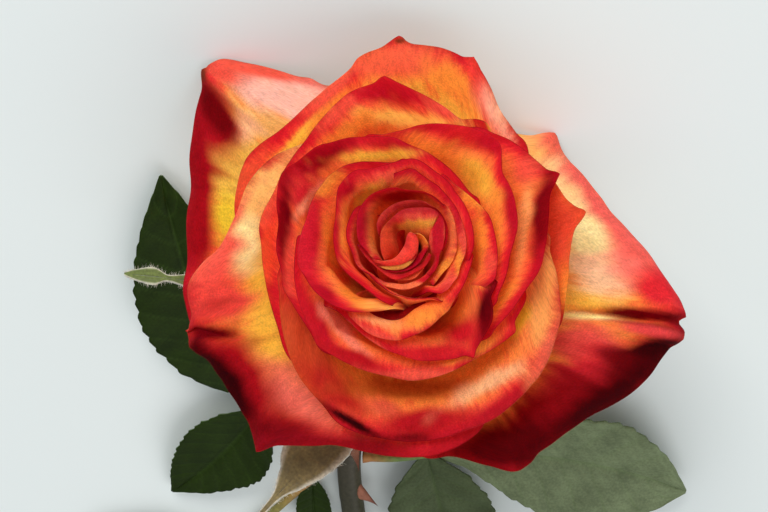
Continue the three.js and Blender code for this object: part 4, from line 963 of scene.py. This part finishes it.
def seen_at(points):
    """The column and row of the picture where the camera sees points given in mm."""
    offset = points - CAMERA_PLACE
    scale = SIGHT_DISTANCE / MM_PER_PIXEL / -(offset @ TO_CAMERA)
    return PICTURE_CENTRE[0] + (offset @ IMAGE_RIGHT) * scale, PICTURE_CENTRE[1] - (offset @ IMAGE_UP) * scale


def flared(heading, length, bend):
    """Steps out and up along a flare that starts in the heading and bends ever more, both in degrees."""
    t = (np.arange(FLARE_ROWS) + 0.5) / FLARE_ROWS
    turned = np.radians(heading[:, None] + bend[:, None] * t**0.85)
    step = length[:, None] / FLARE_ROWS
    return np.cumsum(np.sin(turned) * step, -1), np.cumsum(np.cos(turned) * step, -1)


class Petal:
    """A petal in the bloom's own polar form: at each azimuth, its lean from the axis and its length."""

    def __init__(self, name, spec):
        self.name, self.spec = name, spec
        azimuth, distance, share = np.array(self.traced_rim(), float).T
        h = along(spec["height"], azimuth)
        x, y = unseen(distance * np.cos(np.radians(azimuth)), distance * np.sin(np.radians(azimuth)), h)
        spread = np.hypot(x, y)
        turn = np.degrees(np.arctan2(y, x))
        for i, near in enumerate(azimuth):
            near = turn[i - 1] if i else near
            turn[i] += 360 * max(0, math.ceil((near - 180 - turn[i]) / 360))
        flare, bend = along(spec["flare"], azimuth), along(spec["bend"], azimuth)
        out, up = flared(np.degrees(np.arctan2(spread - FLARE_SHARE * flare, h)), flare, bend)
        body_spread, body_h = spread - out[:, -1], h - up[:, -1]
        length = np.hypot(body_spread, body_h)
        lean = np.degrees(np.arctan2(body_spread, body_h))
        self.knots = {
            "turn": turn, "lean": lean / bulge(lean, length), "length": length * share,
            "flare": flare * share, "bend": bend, "rim_spread": spread * share, "rim_height": h * share,
        }
        self.tips = [(np.interp(place, azimuth, turn), reach, half)
                     for place, reach, half in spec.get("tips", [])]
        shown = np.flatnonzero(share >= 0.95)
        self.first, self.last = turn[shown[0]], turn[shown[-1]]
        self.traced_turn = np.maximum.accumulate(curve_through(turn, 4))
        self.traced_value = curve_through(self.knots["lean"], 4)
        full = np.ceil((self.first - TURN_STEP - AZIMUTHS) / 360) * 360
        self.here = np.where(AZIMUTHS + full <= self.last + TURN_STEP, AZIMUTHS + full, np.nan)
        self.bins = {"rim": self.traced_lean(self.here), "body": self.body_lean(self.here)}
        self.shift = {part: np.zeros(len(AZIMUTHS)) for part in LAYER_STEP}
        self.room = np.full(len(AZIMUTHS), WIDE_ROOM)

    def traced_rim(self):
        """The rim with its hidden ends drawn on, where they dive under the next petal."""
        rim = [(*point, 1)[:3] for point in self.spec["rim"]]
        head, tail = rim[0], rim[-1]
        if head[2] < 1:
            rim = [(head[0] - turn, head[1], share) for turn, share in reversed(DIVE)] + rim[1:]
        if tail[2] < 1:
            rim = rim[:-1] + [(tail[0] + turn, tail[1], share) for turn, share in DIVE]
        return rim

    def traced_lean(self, turn):
        return np.interp(turn, self.traced_turn, self.traced_value)

    def body_lean(self, turn):
        return sum(self.traced_lean(turn + offset) for offset in BODY_SPREAD) / len(BODY_SPREAD)

    def table(self, values, turn):
        turn = np.clip(turn, self.first, self.last)
        return np.interp(turn % 360, np.append(AZIMUTHS, 360), np.append(values, values[0]))

    def lean(self, turn, part):
        traced = self.traced_lean(turn) if part == "rim" else self.body_lean(turn)
        return traced + self.table(self.shift[part], turn)

    def profile(self, turn, distance):
        """Spread from the axis and height over the base of a point of the petal's middle surface."""
        up = rise(distance)
        own = mixed(self.lean(turn, "body"), self.lean(turn, "rim"), smooth(up, *RIM_LEAN))
        lean = np.radians(mixed(self.spec["claw"], own * bulge(own, distance), smooth(up, 0, OPEN_BY)))
        return distance * np.sin(lean), distance * np.cos(lean)


def spread_petals(petals, part):
    """The petals press each other apart: at each azimuth no two lie closer than the layer step."""
    pairs = []
    for i, one in enumerate(petals):
        for other in petals[i + 1:]:
            shared = np.flatnonzero(~np.isnan(one.here + other.here))
            if len(shared):
                apart = (other.bins["rim"] - one.bins["rim"])[shared].sum()
                pairs.append((one, other, shared) if apart > 0 else (other, one, shared))
    for step in range(SPREADING_STEPS):
        for petal in petals:
            petal.room[:] = WIDE_ROOM
        for inner, outer, shared in pairs:
            inner_lean = inner.bins[part] + inner.shift[part]
            outer_lean = outer.bins[part] + outer.shift[part]
            between = (outer_lean - inner_lean)[shared]
            lack = np.maximum(LAYER_STEP[part] - between, 0)
            inner.shift[part][shared] -= lack / 2
            outer.shift[part][shared] += lack / 2
            inner.room[shared] = np.minimum(inner.room[shared], between)
        if step in EVENED_AT:
            for petal in petals:
                shift = petal.shift[part]
                petal.shift[part] = (np.roll(shift, 1) + 2 * shift + np.roll(shift, -1)) / 4


# Colours of the petals from the hem inwards, each at its depth in mm: the face, the back and the furled petals.
# Deep down the furled colours turn dark red: that is painted shade and painted red light cast between the
# petals.
INNER_SHADES = [
    (0, paint(104, 6, 18)), (0.25, paint(170, 18, 34)), (2.2, paint(196, 28, 40)), (4.6, paint(220, 62, 48)),
    (8, paint(234, 100, 52)), (12, paint(240, 138, 58)), (19, paint(240, 168, 68)), (30, paint(232, 170, 66)),
    (48, paint(214, 150, 66)),
]
OUTER_SHADES = [
    (0, paint(128, 12, 22)), (0.25, paint(204, 50, 44)), (1.6, paint(222, 76, 54)),
    (3.6, paint(236, 112, 66)), (7.5, paint(242, 152, 80)), (13, paint(240, 184, 100)),
    (24, paint(232, 190, 110)), (48, paint(206, 178, 100)),
]
FURLED_COLOURS_AND_DEEP_SHADE = [
    (0, paint(222, 52, 46)), (2, paint(238, 80, 54)), (5, paint(246, 120, 64)), (9, paint(242, 104, 52)),
    (14, paint(232, 64, 36)), (20, paint(206, 30, 22)), (28, paint(160, 10, 12)), (48, paint(110, 2, 6)),
]


def shades(stops, depth):
    """The colour at each depth, between the stops on either side of it."""
    keys, colours = zip(*stops)
    return np.stack([np.interp(depth, keys, channel) for channel in zip(*colours)], -1)


def petal_material():
    """Crimson at the rim and gold below, with the change feathered along the veins, and flushes of colour,
    painted shade and painted highlight over both, with a faint painted glow.
    """
    skin = Skin("petal_skin")
    blade = skin.made("UVMap", uv_map="blade")["UV"]

    def noise(scale, detail, stretch):
        stretched = skin.made("Mapping", {"Vector": blade, "Scale": stretch})["Vector"]
        return skin.made("TexNoise", {"Vector": stretched, "Scale": scale, "Detail": detail})["Fac"]

    def worked(operation, one, other):
        return skin.made("Math", {0: one, 1: other}, operation=operation)["Value"]

    def covered(share, one, other):
        return skin.made("Mix", {"Factor": share, "A": one, "B": other}, data_type="RGBA")["Result"]

    def shade_at(place, stops):
        ramp = skin.tree.nodes.new("ShaderNodeValToRGB")
        elements = ramp.color_ramp.elements
        while len(elements) < len(stops):
            elements.new(0.5)
        for element, (depth, _) in zip(elements, stops):
            element.position = depth / MIDDLING_LENGTH
        for element, (_, colour) in zip(elements, stops):
            element.color = (*colour, 1)
        skin.feed(ramp, {"Fac": place})
        return ramp.outputs["Color"]

    depth = skin.made("Attribute", attribute_name="depth")["Fac"]
    back = skin.made("Attribute", attribute_name="back")["Fac"]
    flush_and_painted_light = skin.made("Attribute", attribute_name="flush_and_painted_light")
    veins = noise(1, 4, (1300, 260, 1))
    clouds = noise(260, 4, (1, 0.6, 1))
    grain = noise(2800, 2, (1, 1, 1))
    mottle = noise(800, 3, (1, 0.6, 1))
    feather = worked("MULTIPLY", skin.ranged(veins, 0.74, 1.28), skin.ranged(clouds, 0.66, 1.4))
    place = worked("DIVIDE", worked("MULTIPLY", depth, feather), MIDDLING_LENGTH)
    ground = covered(back, shade_at(place, INNER_SHADES), shade_at(place, OUTER_SHADES))
    partly = worked("MULTIPLY", flush_and_painted_light["Alpha"], worked("SUBTRACT", 1, flush_and_painted_light["Alpha"]))
    uneven = worked("ADD", skin.ranged(veins, -0.8, 0.8), skin.ranged(clouds, -0.8, 0.8))
    covering = worked("ADD", flush_and_painted_light["Alpha"], worked("MULTIPLY", partly, uneven))
    painted = covered(covering, ground, flush_and_painted_light["Color"])
    tone = worked("MULTIPLY", skin.ranged(veins, 0.93, 1.06), skin.ranged(grain, 0.82, 1.14))
    tone = worked("MULTIPLY", tone, skin.ranged(mottle, 0.88, 1.1))
    deepened = skin.made("Gamma", {"Color": skin.scaled(painted, tone), "Gamma": 1.04})["Color"]
    return skin.finished({
        "Base Color": deepened,
        "Normal": skin.bumped(worked("ADD", veins, grain), 0.3, 0.0002),
        # The emission is a faint painted glow of the petal's own colour.
        "Emission Color": deepened, "Emission Strength": PAINTED_THROUGH_GLOW,
        "Roughness": 0.7, "Specular IOR Level": 0.025,
        "Subsurface Weight": 0.5, "Subsurface Radius": (0.003, 0.001, 0.0004), "Subsurface Scale": 1.0,
    })


def flushes_and_painted_light_over(points, flushes_and_painted_light, colour, cover, ragged):
    """Soft, ragged patches of colour, of painted shade and of painted highlight over a first one: their colour,
    and how far they cover the skin's own.
    """
    column, row = seen_at(points)
    colour = colour * cover[..., None]
    for (x, y), reach, turn, tint, strength in flushes_and_painted_light:
        turn = math.radians(turn)
        right = (column - x) * math.cos(turn) - (row - y) * math.sin(turn)
        upward = (column - x) * math.sin(turn) + (row - y) * math.cos(turn)
        share = strength * np.exp(-(ragged * ((right / reach[0]) ** 2 + (upward / reach[1]) ** 2)) ** 1.6)
        share = np.minimum(1.2 * share, 1)
        colour = mixed(colour, tint, share[..., None])
        cover = mixed(cover, 1, share)
    colour = colour / np.maximum(cover, 1e-6)[..., None]
    return np.concatenate([colour, cover[..., None]], -1)


def crease_over(points, creases):
    """How far creases, each from one place in the picture to another, lift a face towards the eye."""
    column, row = seen_at(points)
    lift = np.zeros(column.shape)
    for (x0, y0), (x1, y1), half_width, height in creases:
        length = math.hypot(x1 - x0, y1 - y0)
        share = np.clip(((column - x0) * (x1 - x0) + (row - y0) * (y1 - y0)) / length**2, 0, 1)
        apart = np.hypot(column - x0 - share * (x1 - x0), row - y0 - share * (y1 - y0))
        lift += height * np.exp(-(apart / half_width) ** 2)
    return lift


def petal_object(petal, seed, material):
    """A petal's blade, as a grid that runs round the bloom and up the petal."""
    spec = petal.spec
    knots = {key: curve_through(values, ACROSS_SPANS) for key, values in petal.knots.items()}
    turn, length, flare = knots["turn"], knots["length"], knots["flare"]

    # The claw and the body, from the hip to where the flare starts
    share = 1 - (1 - np.linspace(0, 1, ROWS)) ** ROW_CROWDING
    distance = CLAW_START + (length[:, None] - CLAW_START) * share
    narrow = (1 - np.clip(rise(distance) / spec.get("full_at", 0.7), 0, 1)) ** WIDENING
    middle = (petal.first + petal.last) / 2
    azimuth = middle + (turn[:, None] - middle) * (1 + (CLAW_WIDTH - 1) * narrow)
    spread, h = petal.profile(azimuth, distance)

    # The flare, in the direction that the body ends in
    below_spread, below_h = petal.profile(turn, length - HEADING_STEP)
    heading = np.degrees(np.arctan2(spread[:, -1] - below_spread, h[:, -1] - below_h))
    bend = knots["bend"] * (1 + 0.15 * waves(seed + 20, (turn * 0.4, turn * 0), 4, 9, 24))
    out, up = flared(heading, flare, bend)
    spread = np.concatenate([spread, spread[:, -1:] + out], 1)
    h = np.concatenate([h, h[:, -1:] + up], 1)
    azimuth = np.concatenate([azimuth, np.repeat(azimuth[:, -1:], FLARE_ROWS, 1)], 1)

    # The rim is drawn back to where the picture shows it, and its points stand out
    row = np.arange(ROWS + FLARE_ROWS)
    drawn = RETRACED * smooth(row, 0.5 * ROWS, ROWS + 0.6 * FLARE_ROWS)
    astray, amiss = knots["rim_spread"] - spread[:, -1], knots["rim_height"] - h[:, -1]
    spread = spread + np.clip(astray, -MOST_RETRACED, MOST_RETRACED)[:, None] * drawn
    h = h + np.clip(amiss, -MOST_RETRACED, MOST_RETRACED)[:, None] * drawn
    pointed = smooth(row, ROWS + 0.2 * FLARE_ROWS, ROWS + FLARE_ROWS)
    for place, reach, half in petal.tips:
        spread = spread + reach * (np.clip(1 - np.abs(turn - place) / half, 0, 1) ** 1.3)[:, None] * pointed
    points = bloom_points(spread * np.cos(np.radians(azimuth)), spread * np.sin(np.radians(azimuth)), h)

    # Ruffles, ripples and creases, where the next petal leaves room for them
    beyond = flare[:, None] * np.arange(FLARE_ROWS - 1, -1, -1) / FLARE_ROWS
    depth = np.concatenate([length[:, None] - distance + flare[:, None], beyond], 1)
    width = np.radians(azimuth - middle) * np.minimum(spread, length[:, None] * 0.8)
    room = np.radians(petal.table(petal.room, turn)) * length
    loose = np.clip((np.minimum(room, 3.5) - 0.4) / 3, 0.1, 1)[:, None]
    ruffle = waves(seed, (width, depth * 0.5), 5, 7, 16) * smooth(depth, 16, 0) * RUFFLE * loose
    ripple = waves(seed + 40, (width, depth * 0.4), 5, 2.5, 6) * smooth(depth, 7, 0) * RIPPLE
    lift = crease_over(points, spec.get("creases", []))
    points = points + face_normals(points) * (ruffle + ripple - lift)[..., None]
    points[..., 2] = np.maximum(points[..., 2], RESTING_HEIGHT)

    # The hem, and the flushes of colour, painted shade and painted highlight on the face
    beside = np.radians(np.minimum(turn - turn[0], turn[-1] - turn))[:, None] * np.maximum(spread, 1) * 0.9
    hem = np.minimum(depth, beside + 1.5) / spec["margin"]
    warm = spec.get("warm", 0) * smooth(depth, 1, 5)
    deep = shades(FURLED_COLOURS_AND_DEEP_SHADE, depth)
    ragged = 1 + 0.32 * waves(seed + 90, (width, depth * 0.3), 7, 2.2, 8)
    face = flushes_and_painted_light_over(points, spec["flushes_and_painted_light"], deep, warm, ragged)
    back = flushes_and_painted_light_over(points, [], deep, warm, ragged)
    marks = {"depth": (hem, hem), "back": (np.zeros_like(hem), np.ones_like(hem)), "flush_and_painted_light": (face, back)}
    thickness = PETAL_THICKNESS * (0.5 + 0.5 * smooth(depth, 0, 3))
    return blade_object(petal.name + "_blade", points, thickness, (width, depth), marks, material)


petals = [Petal(name, spec) for name, spec in PETALS.items()]
for part in ("body", "rim"):
    spread_petals(petals, part)
petal_skin = petal_material()
for seed, petal in enumerate(petals):
    made = petal_object(petal, seed, petal_skin)
    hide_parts(petal.name)
    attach(made, "root")

# Heart. The innermost petals, still furled round each other into a bud that closes over the bloom's middle.
# Each is a band of petal between its rim and the line where it turns down out of sight, as traced on an
# enlarged cut of the photograph, and it runs on down to the hip.
EYE_VIEW_CORNER = (352, 184)
EYE_VIEW_SCALE = 13.07
DEEP_END = 8.4
DEEP_SPREAD = 2.6
FACE_ROWS = 14
WALL_ROWS = 12
FURL_SPANS = 7
SHOULDER = np.array([0.6, 0.6, 0.15])
FURL_RIPPLE = 0.06
FURL_WARMTH = 0.9

# The furls. Their lines and flushes are in pixels of the enlarged cut.
#   rim, foot                  where the furl shows its edge, and where it turns down out of sight
#   rim_height, foot_height    mm over the petals' base, evenly spaced along the line
#   margin, flushes            as for the open petals
FURLS = {
    "face_left": {
        "rim": [(300, 1000), (180, 870), (95, 760), (62, 600), (70, 430), (125, 280), (240, 150), (400, 70),
            (560, 48), (700, 75), (860, 92), (1000, 128), (1120, 195), (1210, 280)],
        "foot": [(395, 1000), (335, 900), (300, 780), (285, 600), (290, 450), (330, 390), (400, 330),
            (500, 275), (600, 240), (720, 215), (850, 212), (960, 240), (1060, 300), (1130, 360)],
        "rim_height": [46.3, 46.4], "foot_height": [44, 42, 41, 40.5, 40, 38.5, 37, 36.5, 36, 36, 36, 36,
            36.5, 37],
        "margin": 0.55,
        # The broad dark red across the top is painted shade.
        "flushes_and_painted_light": [((100, 560), (120, 330), 0, CRIMSON, 0.75),
            ((265, 680), (60, 260), 0, paint(246, 128, 62), 0.8),
            ((600, 150), (420, 100), 8, paint(158, 16, 20), 0.85)],
    },
    "ring_thin": {
        "rim": [(345, 660), (325, 540), (345, 460), (390, 385), (470, 310), (580, 250), (700, 215),
            (820, 205), (930, 225), (1040, 285), (1120, 335), (1190, 430), (1238, 540), (1252, 660),
            (1235, 780), (1180, 880)],
        "foot": [(375, 700), (385, 600), (415, 520), (460, 450), (530, 390), (640, 335), (740, 312),
            (850, 300), (940, 300), (1040, 320), (1110, 365), (1165, 440), (1205, 560), (1212, 680),
            (1195, 790), (1150, 880)],
        "rim_height": [45.4, 45.6], "foot_height": [43.4, 43],
        "margin": 0.45,
        "flushes_and_painted_light": [((800, 260), (360, 60), 0, paint(196, 50, 44), 0.7),
            ((400, 450), (80, 160), -30, CORAL, 0.4)],
    },
    "golden_blade": {
        "rim": [(425, 995), (378, 880), (368, 750), (375, 650), (435, 530), (560, 405), (660, 335),
            (760, 312), (860, 306), (960, 303), (1060, 325), (1140, 385)],
        "foot": [(470, 990), (600, 900), (590, 760), (592, 650), (605, 600), (680, 588), (770, 590),
            (840, 605), (900, 625), (960, 645), (1010, 650), (1040, 600)],
        "rim_height": [45.6, 46], "foot_height": [44, 41, 40.6, 40.4, 40.6, 41, 41.2, 41.2, 41.4, 41.6, 42,
            43],
        "margin": 0.5,
        # The dark red-brown strip down its foot is painted shade.
        "flushes_and_painted_light": [((860, 340), (330, 44), 4, paint(176, 40, 42), 0.8),
            ((860, 430), (300, 50), 0, CORAL, 0.8), ((860, 525), (330, 60), 6, paint(236, 150, 62), 0.95),
            ((560, 660), (54, 240), 4, paint(172, 44, 28), 0.7),
            ((440, 760), (80, 220), 0, paint(208, 68, 40), 0.85),
            ((500, 900), (120, 110), 30, paint(196, 54, 32), 0.8)],
    },
    "crimson_blade": {
        "rim": [(1150, 395), (1190, 450), (1212, 560), (1212, 680), (1190, 820), (1140, 930), (1128, 1030),
            (1095, 1120), (1010, 1200)],
        "foot": [(1135, 440), (1080, 530), (1035, 630), (1022, 730), (1050, 860), (1090, 945), (1085, 1040),
            (1048, 1110), (975, 1175)],
        "rim_height": [46.7, 46.4, 45.6], "foot_height": [45.6, 44.6, 44.2],
        "margin": 1.4,
        # The paler strip along its foot is a painted highlight on the bend.
        "flushes_and_painted_light": [((1120, 680), (120, 300), 0, paint(172, 22, 36), 0.95),
            ((1030, 720), (24, 200), 0, paint(216, 80, 60), 0.6),
            ((1215, 620), (14, 200), 0, paint(216, 80, 60), 0.5)],
    },
    "right_ring": {
        "rim": [(1060, 1330), (1190, 1160), (1265, 1080), (1335, 975), (1368, 860), (1374, 700), (1352, 560),
            (1325, 430), (1270, 330), (1200, 262)],
        "foot": [(1000, 1270), (1110, 1120), (1170, 1030), (1215, 950), (1240, 860), (1256, 700), (1250, 560),
            (1222, 450), (1180, 370), (1120, 310)],
        "rim_height": [45, 45.8], "foot_height": [42.5, 42.5, 42],
        "margin": 0.4,
        "flushes_and_painted_light": [((1300, 600), (70, 360), 0, paint(232, 104, 62), 0.9),
            ((1200, 1100), (160, 90), 50, ORANGE, 0.8)],
    },
    "pale_band": {
        "rim": [(230, 1195), (280, 1250), (450, 1337), (600, 1377), (750, 1372), (910, 1305), (1065, 1160),
            (1120, 1050), (1150, 940)],
        "foot": [(250, 1170), (300, 1222), (450, 1290), (600, 1316), (750, 1306), (885, 1248), (1010, 1140),
            (1070, 1030), (1100, 930)],
        "rim_height": [45, 45.2], "foot_height": [44, 44],
        "margin": 0.5,
        "flushes_and_painted_light": [((700, 1340), (480, 60), 0, paint(236, 104, 66), 0.9),
            ((330, 1245), (120, 60), -30, CORAL, 0.6)],
    },
    "low_rim": {
        "rim": [(70, 790), (130, 890), (210, 985), (330, 1100), (430, 1180), (530, 1240), (620, 1245),
            (720, 1208), (830, 1152), (930, 1095), (1000, 1020), (1045, 940)],
        "foot": [(170, 850), (240, 930), (320, 1010), (410, 1085), (490, 1140), (570, 1165), (640, 1160),
            (720, 1135), (810, 1090), (880, 1040), (940, 975), (985, 900)],
        "rim_height": [45.2, 44.6], "foot_height": [41, 40],
        "margin": 0.8,
        "flushes_and_painted_light": [((400, 1130), (380, 60), -38, paint(196, 40, 40), 0.9),
            ((850, 1120), (220, 60), 28, paint(170, 28, 30), 0.8)],
    },
    "under_lip": {
        "rim": [(190, 1610), (270, 1720), (430, 1795), (640, 1790), (820, 1705), (970, 1560)],
        "foot": [(250, 1545), (340, 1620), (470, 1670), (640, 1660), (790, 1590), (910, 1460)],
        "rim_height": [41.5, 42], "foot_height": [40.6, 41],
        "margin": 0.5,
        # Its dark red all over is painted shade in the gap under the bud's lower rims.
        "flushes_and_painted_light": [((500, 1640), (680, 300), 0, paint(120, 10, 10), 0.98)],
    },
    "lit_wedge": {
        "rim": [(560, 1262), (650, 1258), (760, 1250), (830, 1222), (890, 1165), (950, 1095)],
        "foot": [(600, 1235), (680, 1215), (770, 1175), (835, 1142), (895, 1105), (935, 1070)],
        "rim_height": [43.6, 43.8], "foot_height": [42.8, 42.8],
        "margin": 0.5,
        "flushes_and_painted_light": [((780, 1200), (260, 80), 20, paint(236, 92, 56), 0.95)],
    },
    "dark_lip": {
        "rim": [(820, 655), (870, 652), (930, 682), (978, 740), (1000, 815), (962, 890), (900, 1000),
            (800, 1088), (700, 1135), (580, 1150), (470, 1138), (370, 1095)],
        "foot": [(850, 725), (880, 730), (915, 765), (925, 810), (915, 860), (885, 910), (840, 965),
            (770, 1030), (690, 1080), (590, 1105), (490, 1100), (400, 1075)],
        "rim_height": [44.6, 44.6], "foot_height": [40.5, 40, 41, 42],
        "margin": 0.7,
        # The near-black patch on its face is painted shade in the hole beside the tongue.
        "flushes_and_painted_light": [((920, 720), (110, 80), -40, ORANGE, 0.8), ((860, 1010), (260, 90), 34, CRIMSON, 0.85),
            ((560, 1135), (200, 30), 0, CRIMSON, 0.8), ((884, 815), (38, 88), 12, BLACK_RED, 0.98)],
    },
    "golden_stripe": {
        "rim": [(325, 1062), (400, 1098), (480, 1118), (600, 1123), (700, 1093), (780, 1032), (838, 950)],
        "foot": [(345, 1035), (420, 1030), (500, 1025), (600, 1010), (700, 970), (770, 920), (815, 870)],
        "rim_height": [45.3, 45], "foot_height": [43.6, 43],
        "margin": 0.4,
        "flushes_and_painted_light": [((580, 1070), (300, 60), 14, paint(204, 124, 56), 0.95),
            ((800, 960), (60, 80), 30, CRIMSON, 0.6)],
    },
    "hollow": {
        "rim": [(540, 985), (600, 900), (587, 760), (598, 650), (650, 605), (740, 592), (840, 622),
            (930, 650)],
        "foot": [(640, 900), (665, 840), (655, 770), (660, 710), (690, 670), (740, 655), (800, 665),
            (850, 690)],
        "rim_height": [41, 40.6], "foot_height": [37.5, 36.5],
        "margin": 0.7,
        # Its dark red is painted shade in the hollow.
        "flushes_and_painted_light": [((680, 760), (200, 260), 0, paint(184, 30, 22), 0.95)],
    },
    "tongue": {
        "rim": [(265, 975), (350, 1003), (430, 1005), (520, 985), (590, 935), (645, 865), (690, 785),
            (708, 715), (725, 655), (762, 628), (805, 650)],
        "foot": [(320, 1052), (400, 1056), (500, 1056), (600, 1042), (700, 1002), (790, 942), (838, 872),
            (858, 800), (856, 740), (840, 690), (820, 668)],
        "rim_height": [46.6, 47.2, 47], "foot_height": [45.4, 45.6, 45],
        "margin": 1,
        "flushes_and_painted_light": [((600, 900), (420, 240), 40, paint(236, 66, 54), 0.95),
            ((700, 730), (60, 120), 10, CRIMSON, 0.5), ((330, 1040), (120, 14), -8, DARK_RED, 0.6)],
    },
}


def spread_along(values, count):
    return np.interp(np.linspace(0, 1, count), np.linspace(0, 1, len(values)), values)


def in_picture(place):
    return EYE_VIEW_CORNER[0] + place[0] / EYE_VIEW_SCALE, EYE_VIEW_CORNER[1] + place[1] / EYE_VIEW_SCALE


def traced_line(line, height):
    """The line's places in the bloom's frame, smooth through its traced points at their heights."""
    column, row = np.array([in_picture(place) for place in line]).T
    h = spread_along(height, len(line))
    x, y = unseen((column - EYE_IN_PICTURE[0]) * MM_PER_PIXEL, (EYE_IN_PICTURE[1] - row) * MM_PER_PIXEL, h)
    return np.stack([curve_through(values, FURL_SPANS) for values in (x, y, h)], -1)


def arch(start, middle, end, share):
    """Rows of points from one line to another, which bow towards a third."""
    t = share[None, :, None]
    return (1 - t) ** 2 * start[:, None] + 2 * t * (1 - t) * middle[:, None] + t**2 * end[:, None]


def furl_object(name, furl, seed, material):
    """One furl, as a grid that runs along its rim and up from the hip."""
    # The face, from the rim to the foot
    rim, foot = traced_line(furl["rim"], furl["rim_height"]), traced_line(furl["foot"], furl["foot_height"])
    face = arch(rim, mixed(rim, foot, SHOULDER), foot, np.linspace(0, 1, FACE_ROWS))

    # The wall, from the foot down to the hip
    inward = np.minimum(DEEP_SPREAD / np.maximum(np.hypot(foot[:, 0], foot[:, 1]), 0.01), 1)
    deep = np.stack([foot[:, 0] * inward, foot[:, 1] * inward, np.full(len(foot), DEEP_END)], -1)
    below = np.stack([foot[:, 0] * 0.97, foot[:, 1] * 0.97, (foot[:, 2] + DEEP_END) / 2], -1)
    wall = arch(foot, below, deep, np.linspace(0, 1, WALL_ROWS + 1)[1:])
    local = np.concatenate([face, wall], 1)[:, ::-1]
    points = bloom_points(local[..., 0], local[..., 1], local[..., 2])

    # Depth under the rim and width along it, both in mm, and the ripples that go by them
    steps = np.linalg.norm(np.diff(points, axis=1), axis=-1)
    depth = np.concatenate([np.cumsum(steps[:, ::-1], 1)[:, ::-1], np.zeros((len(points), 1))], 1)
    side = np.linalg.norm(np.diff(points[:, -1], axis=0), axis=-1)
    width = np.repeat(np.concatenate([[0], np.cumsum(side)])[:, None], points.shape[1], 1)
    ripple = waves(seed, (width, depth * 0.5), 5, 2, 6) * FURL_RIPPLE
    points = points + face_normals(points) * ripple[..., None]
    ends = np.minimum(width, width[-1:] - width)
    thickness = PETAL_THICKNESS * (0.45 + 0.55 * smooth(np.minimum(depth, ends), 0, 2))

    # The hem, and the flushes of colour, painted shade and painted highlight, the same on both faces
    hem = depth / furl["margin"]
    flushes_and_painted_light = [(in_picture(at), (across / EYE_VIEW_SCALE, upward / EYE_VIEW_SCALE), *rest)
               for at, (across, upward), *rest in furl["flushes_and_painted_light"]]
    ragged = 1 + 0.3 * waves(seed + 7, (width, depth * 0.4), 6, 1.2, 4)
    warm = FURL_WARMTH * smooth(depth, 0.5, 3)
    flush_and_painted_light = flushes_and_painted_light_over(points, flushes_and_painted_light, shades(FURLED_COLOURS_AND_DEEP_SHADE, depth), warm, ragged)
    marks = {"depth": (hem, hem), "back": (np.zeros_like(hem), np.zeros_like(hem)), "flush_and_painted_light": (flush_and_painted_light, flush_and_painted_light)}
    return blade_object(name, points, thickness, (width, depth), marks, material)


for seed, (name, furl) in enumerate(FURLS.items()):
    made = furl_object("heart_" + name, furl, seed + 60, petal_skin)
    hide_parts("heart")
    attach(made, "root")

# Surface. The rose lies on a wide, pale sheet of matt paper, a hair under it, so that the two don't flicker.
SHEET_SIDE = 6
SHEET_DROP = 0.00005
bpy.ops.mesh.primitive_plane_add(size=SHEET_SIDE, location=(0, 0, -SHEET_DROP))
floor = bpy.context.object
floor.name = "pale_surface"
pale_paper = Skin("pale_paper").finished({"Base Color": (*paint(222, 228, 226), 1), "Roughness": 0.8})
floor.data.materials.append(pale_paper)

# Light. Soft studio light: a broad lamp above the bloom, a wider one over the whole, and an even, dimmer room.
LAMPS = {  # direction from the bloom's eye, distance and side in metres, and watts
    "broad_lamp": (0.9 * TO_CAMERA + 0.45 * IMAGE_UP - 0.22 * IMAGE_RIGHT, 1.8, 0.9, 28),
    "overhead_fill": (np.array([-0.5, 0.5, 1.0]), 2.4, 2.4, 23.2),
}
ROOM_COLOUR = (0.93, 0.97, 1, 1)
ROOM_STRENGTH = 0.5
for name, (direction, distance, side, power) in LAMPS.items():
    area = bpy.data.lights.new(name, "AREA")
    area.size = side
    area.energy = power
    lamp = bpy.data.objects.new(name, area)
    bpy.context.scene.collection.objects.link(lamp)
    lamp.location = (EYE * MM + unit(direction) * distance).tolist()
    lamp.rotation_mode = "QUATERNION"
    lamp.rotation_quaternion = Vector(unit(direction).tolist()).to_track_quat("Z", "Y")
world = bpy.data.worlds.new("studio_room")
world.use_nodes = True
room = world.node_tree.nodes["Background"]
room.inputs["Color"].default_value = ROOM_COLOUR
room.inputs["Strength"].default_value = ROOM_STRENGTH
bpy.context.scene.world = world
bpy.context.scene.view_settings.view_transform = "Standard"

# Camera. It stands where the photograph was taken from, a little under the bloom's axis, and the stem leaves
# the picture at the bottom.
SENSOR = 36
NEAREST, FARTHEST = 0.01, 20
camera = bpy.data.objects.new("camera", bpy.data.cameras.new("camera"))
bpy.context.scene.collection.objects.link(camera)
camera.data.sensor_width = SENSOR
camera.data.lens = SENSOR * SIGHT_DISTANCE / (PICTURE_WIDTH * MM_PER_PIXEL)
camera.data.clip_start = NEAREST
camera.data.clip_end = FARTHEST
axes = np.eye(4)
axes[:3] = np.stack([IMAGE_RIGHT, IMAGE_UP, TO_CAMERA, CAMERA_PLACE * MM], 1)
camera.matrix_world = Matrix(axes.tolist())
bpy.context.scene.camera = camera
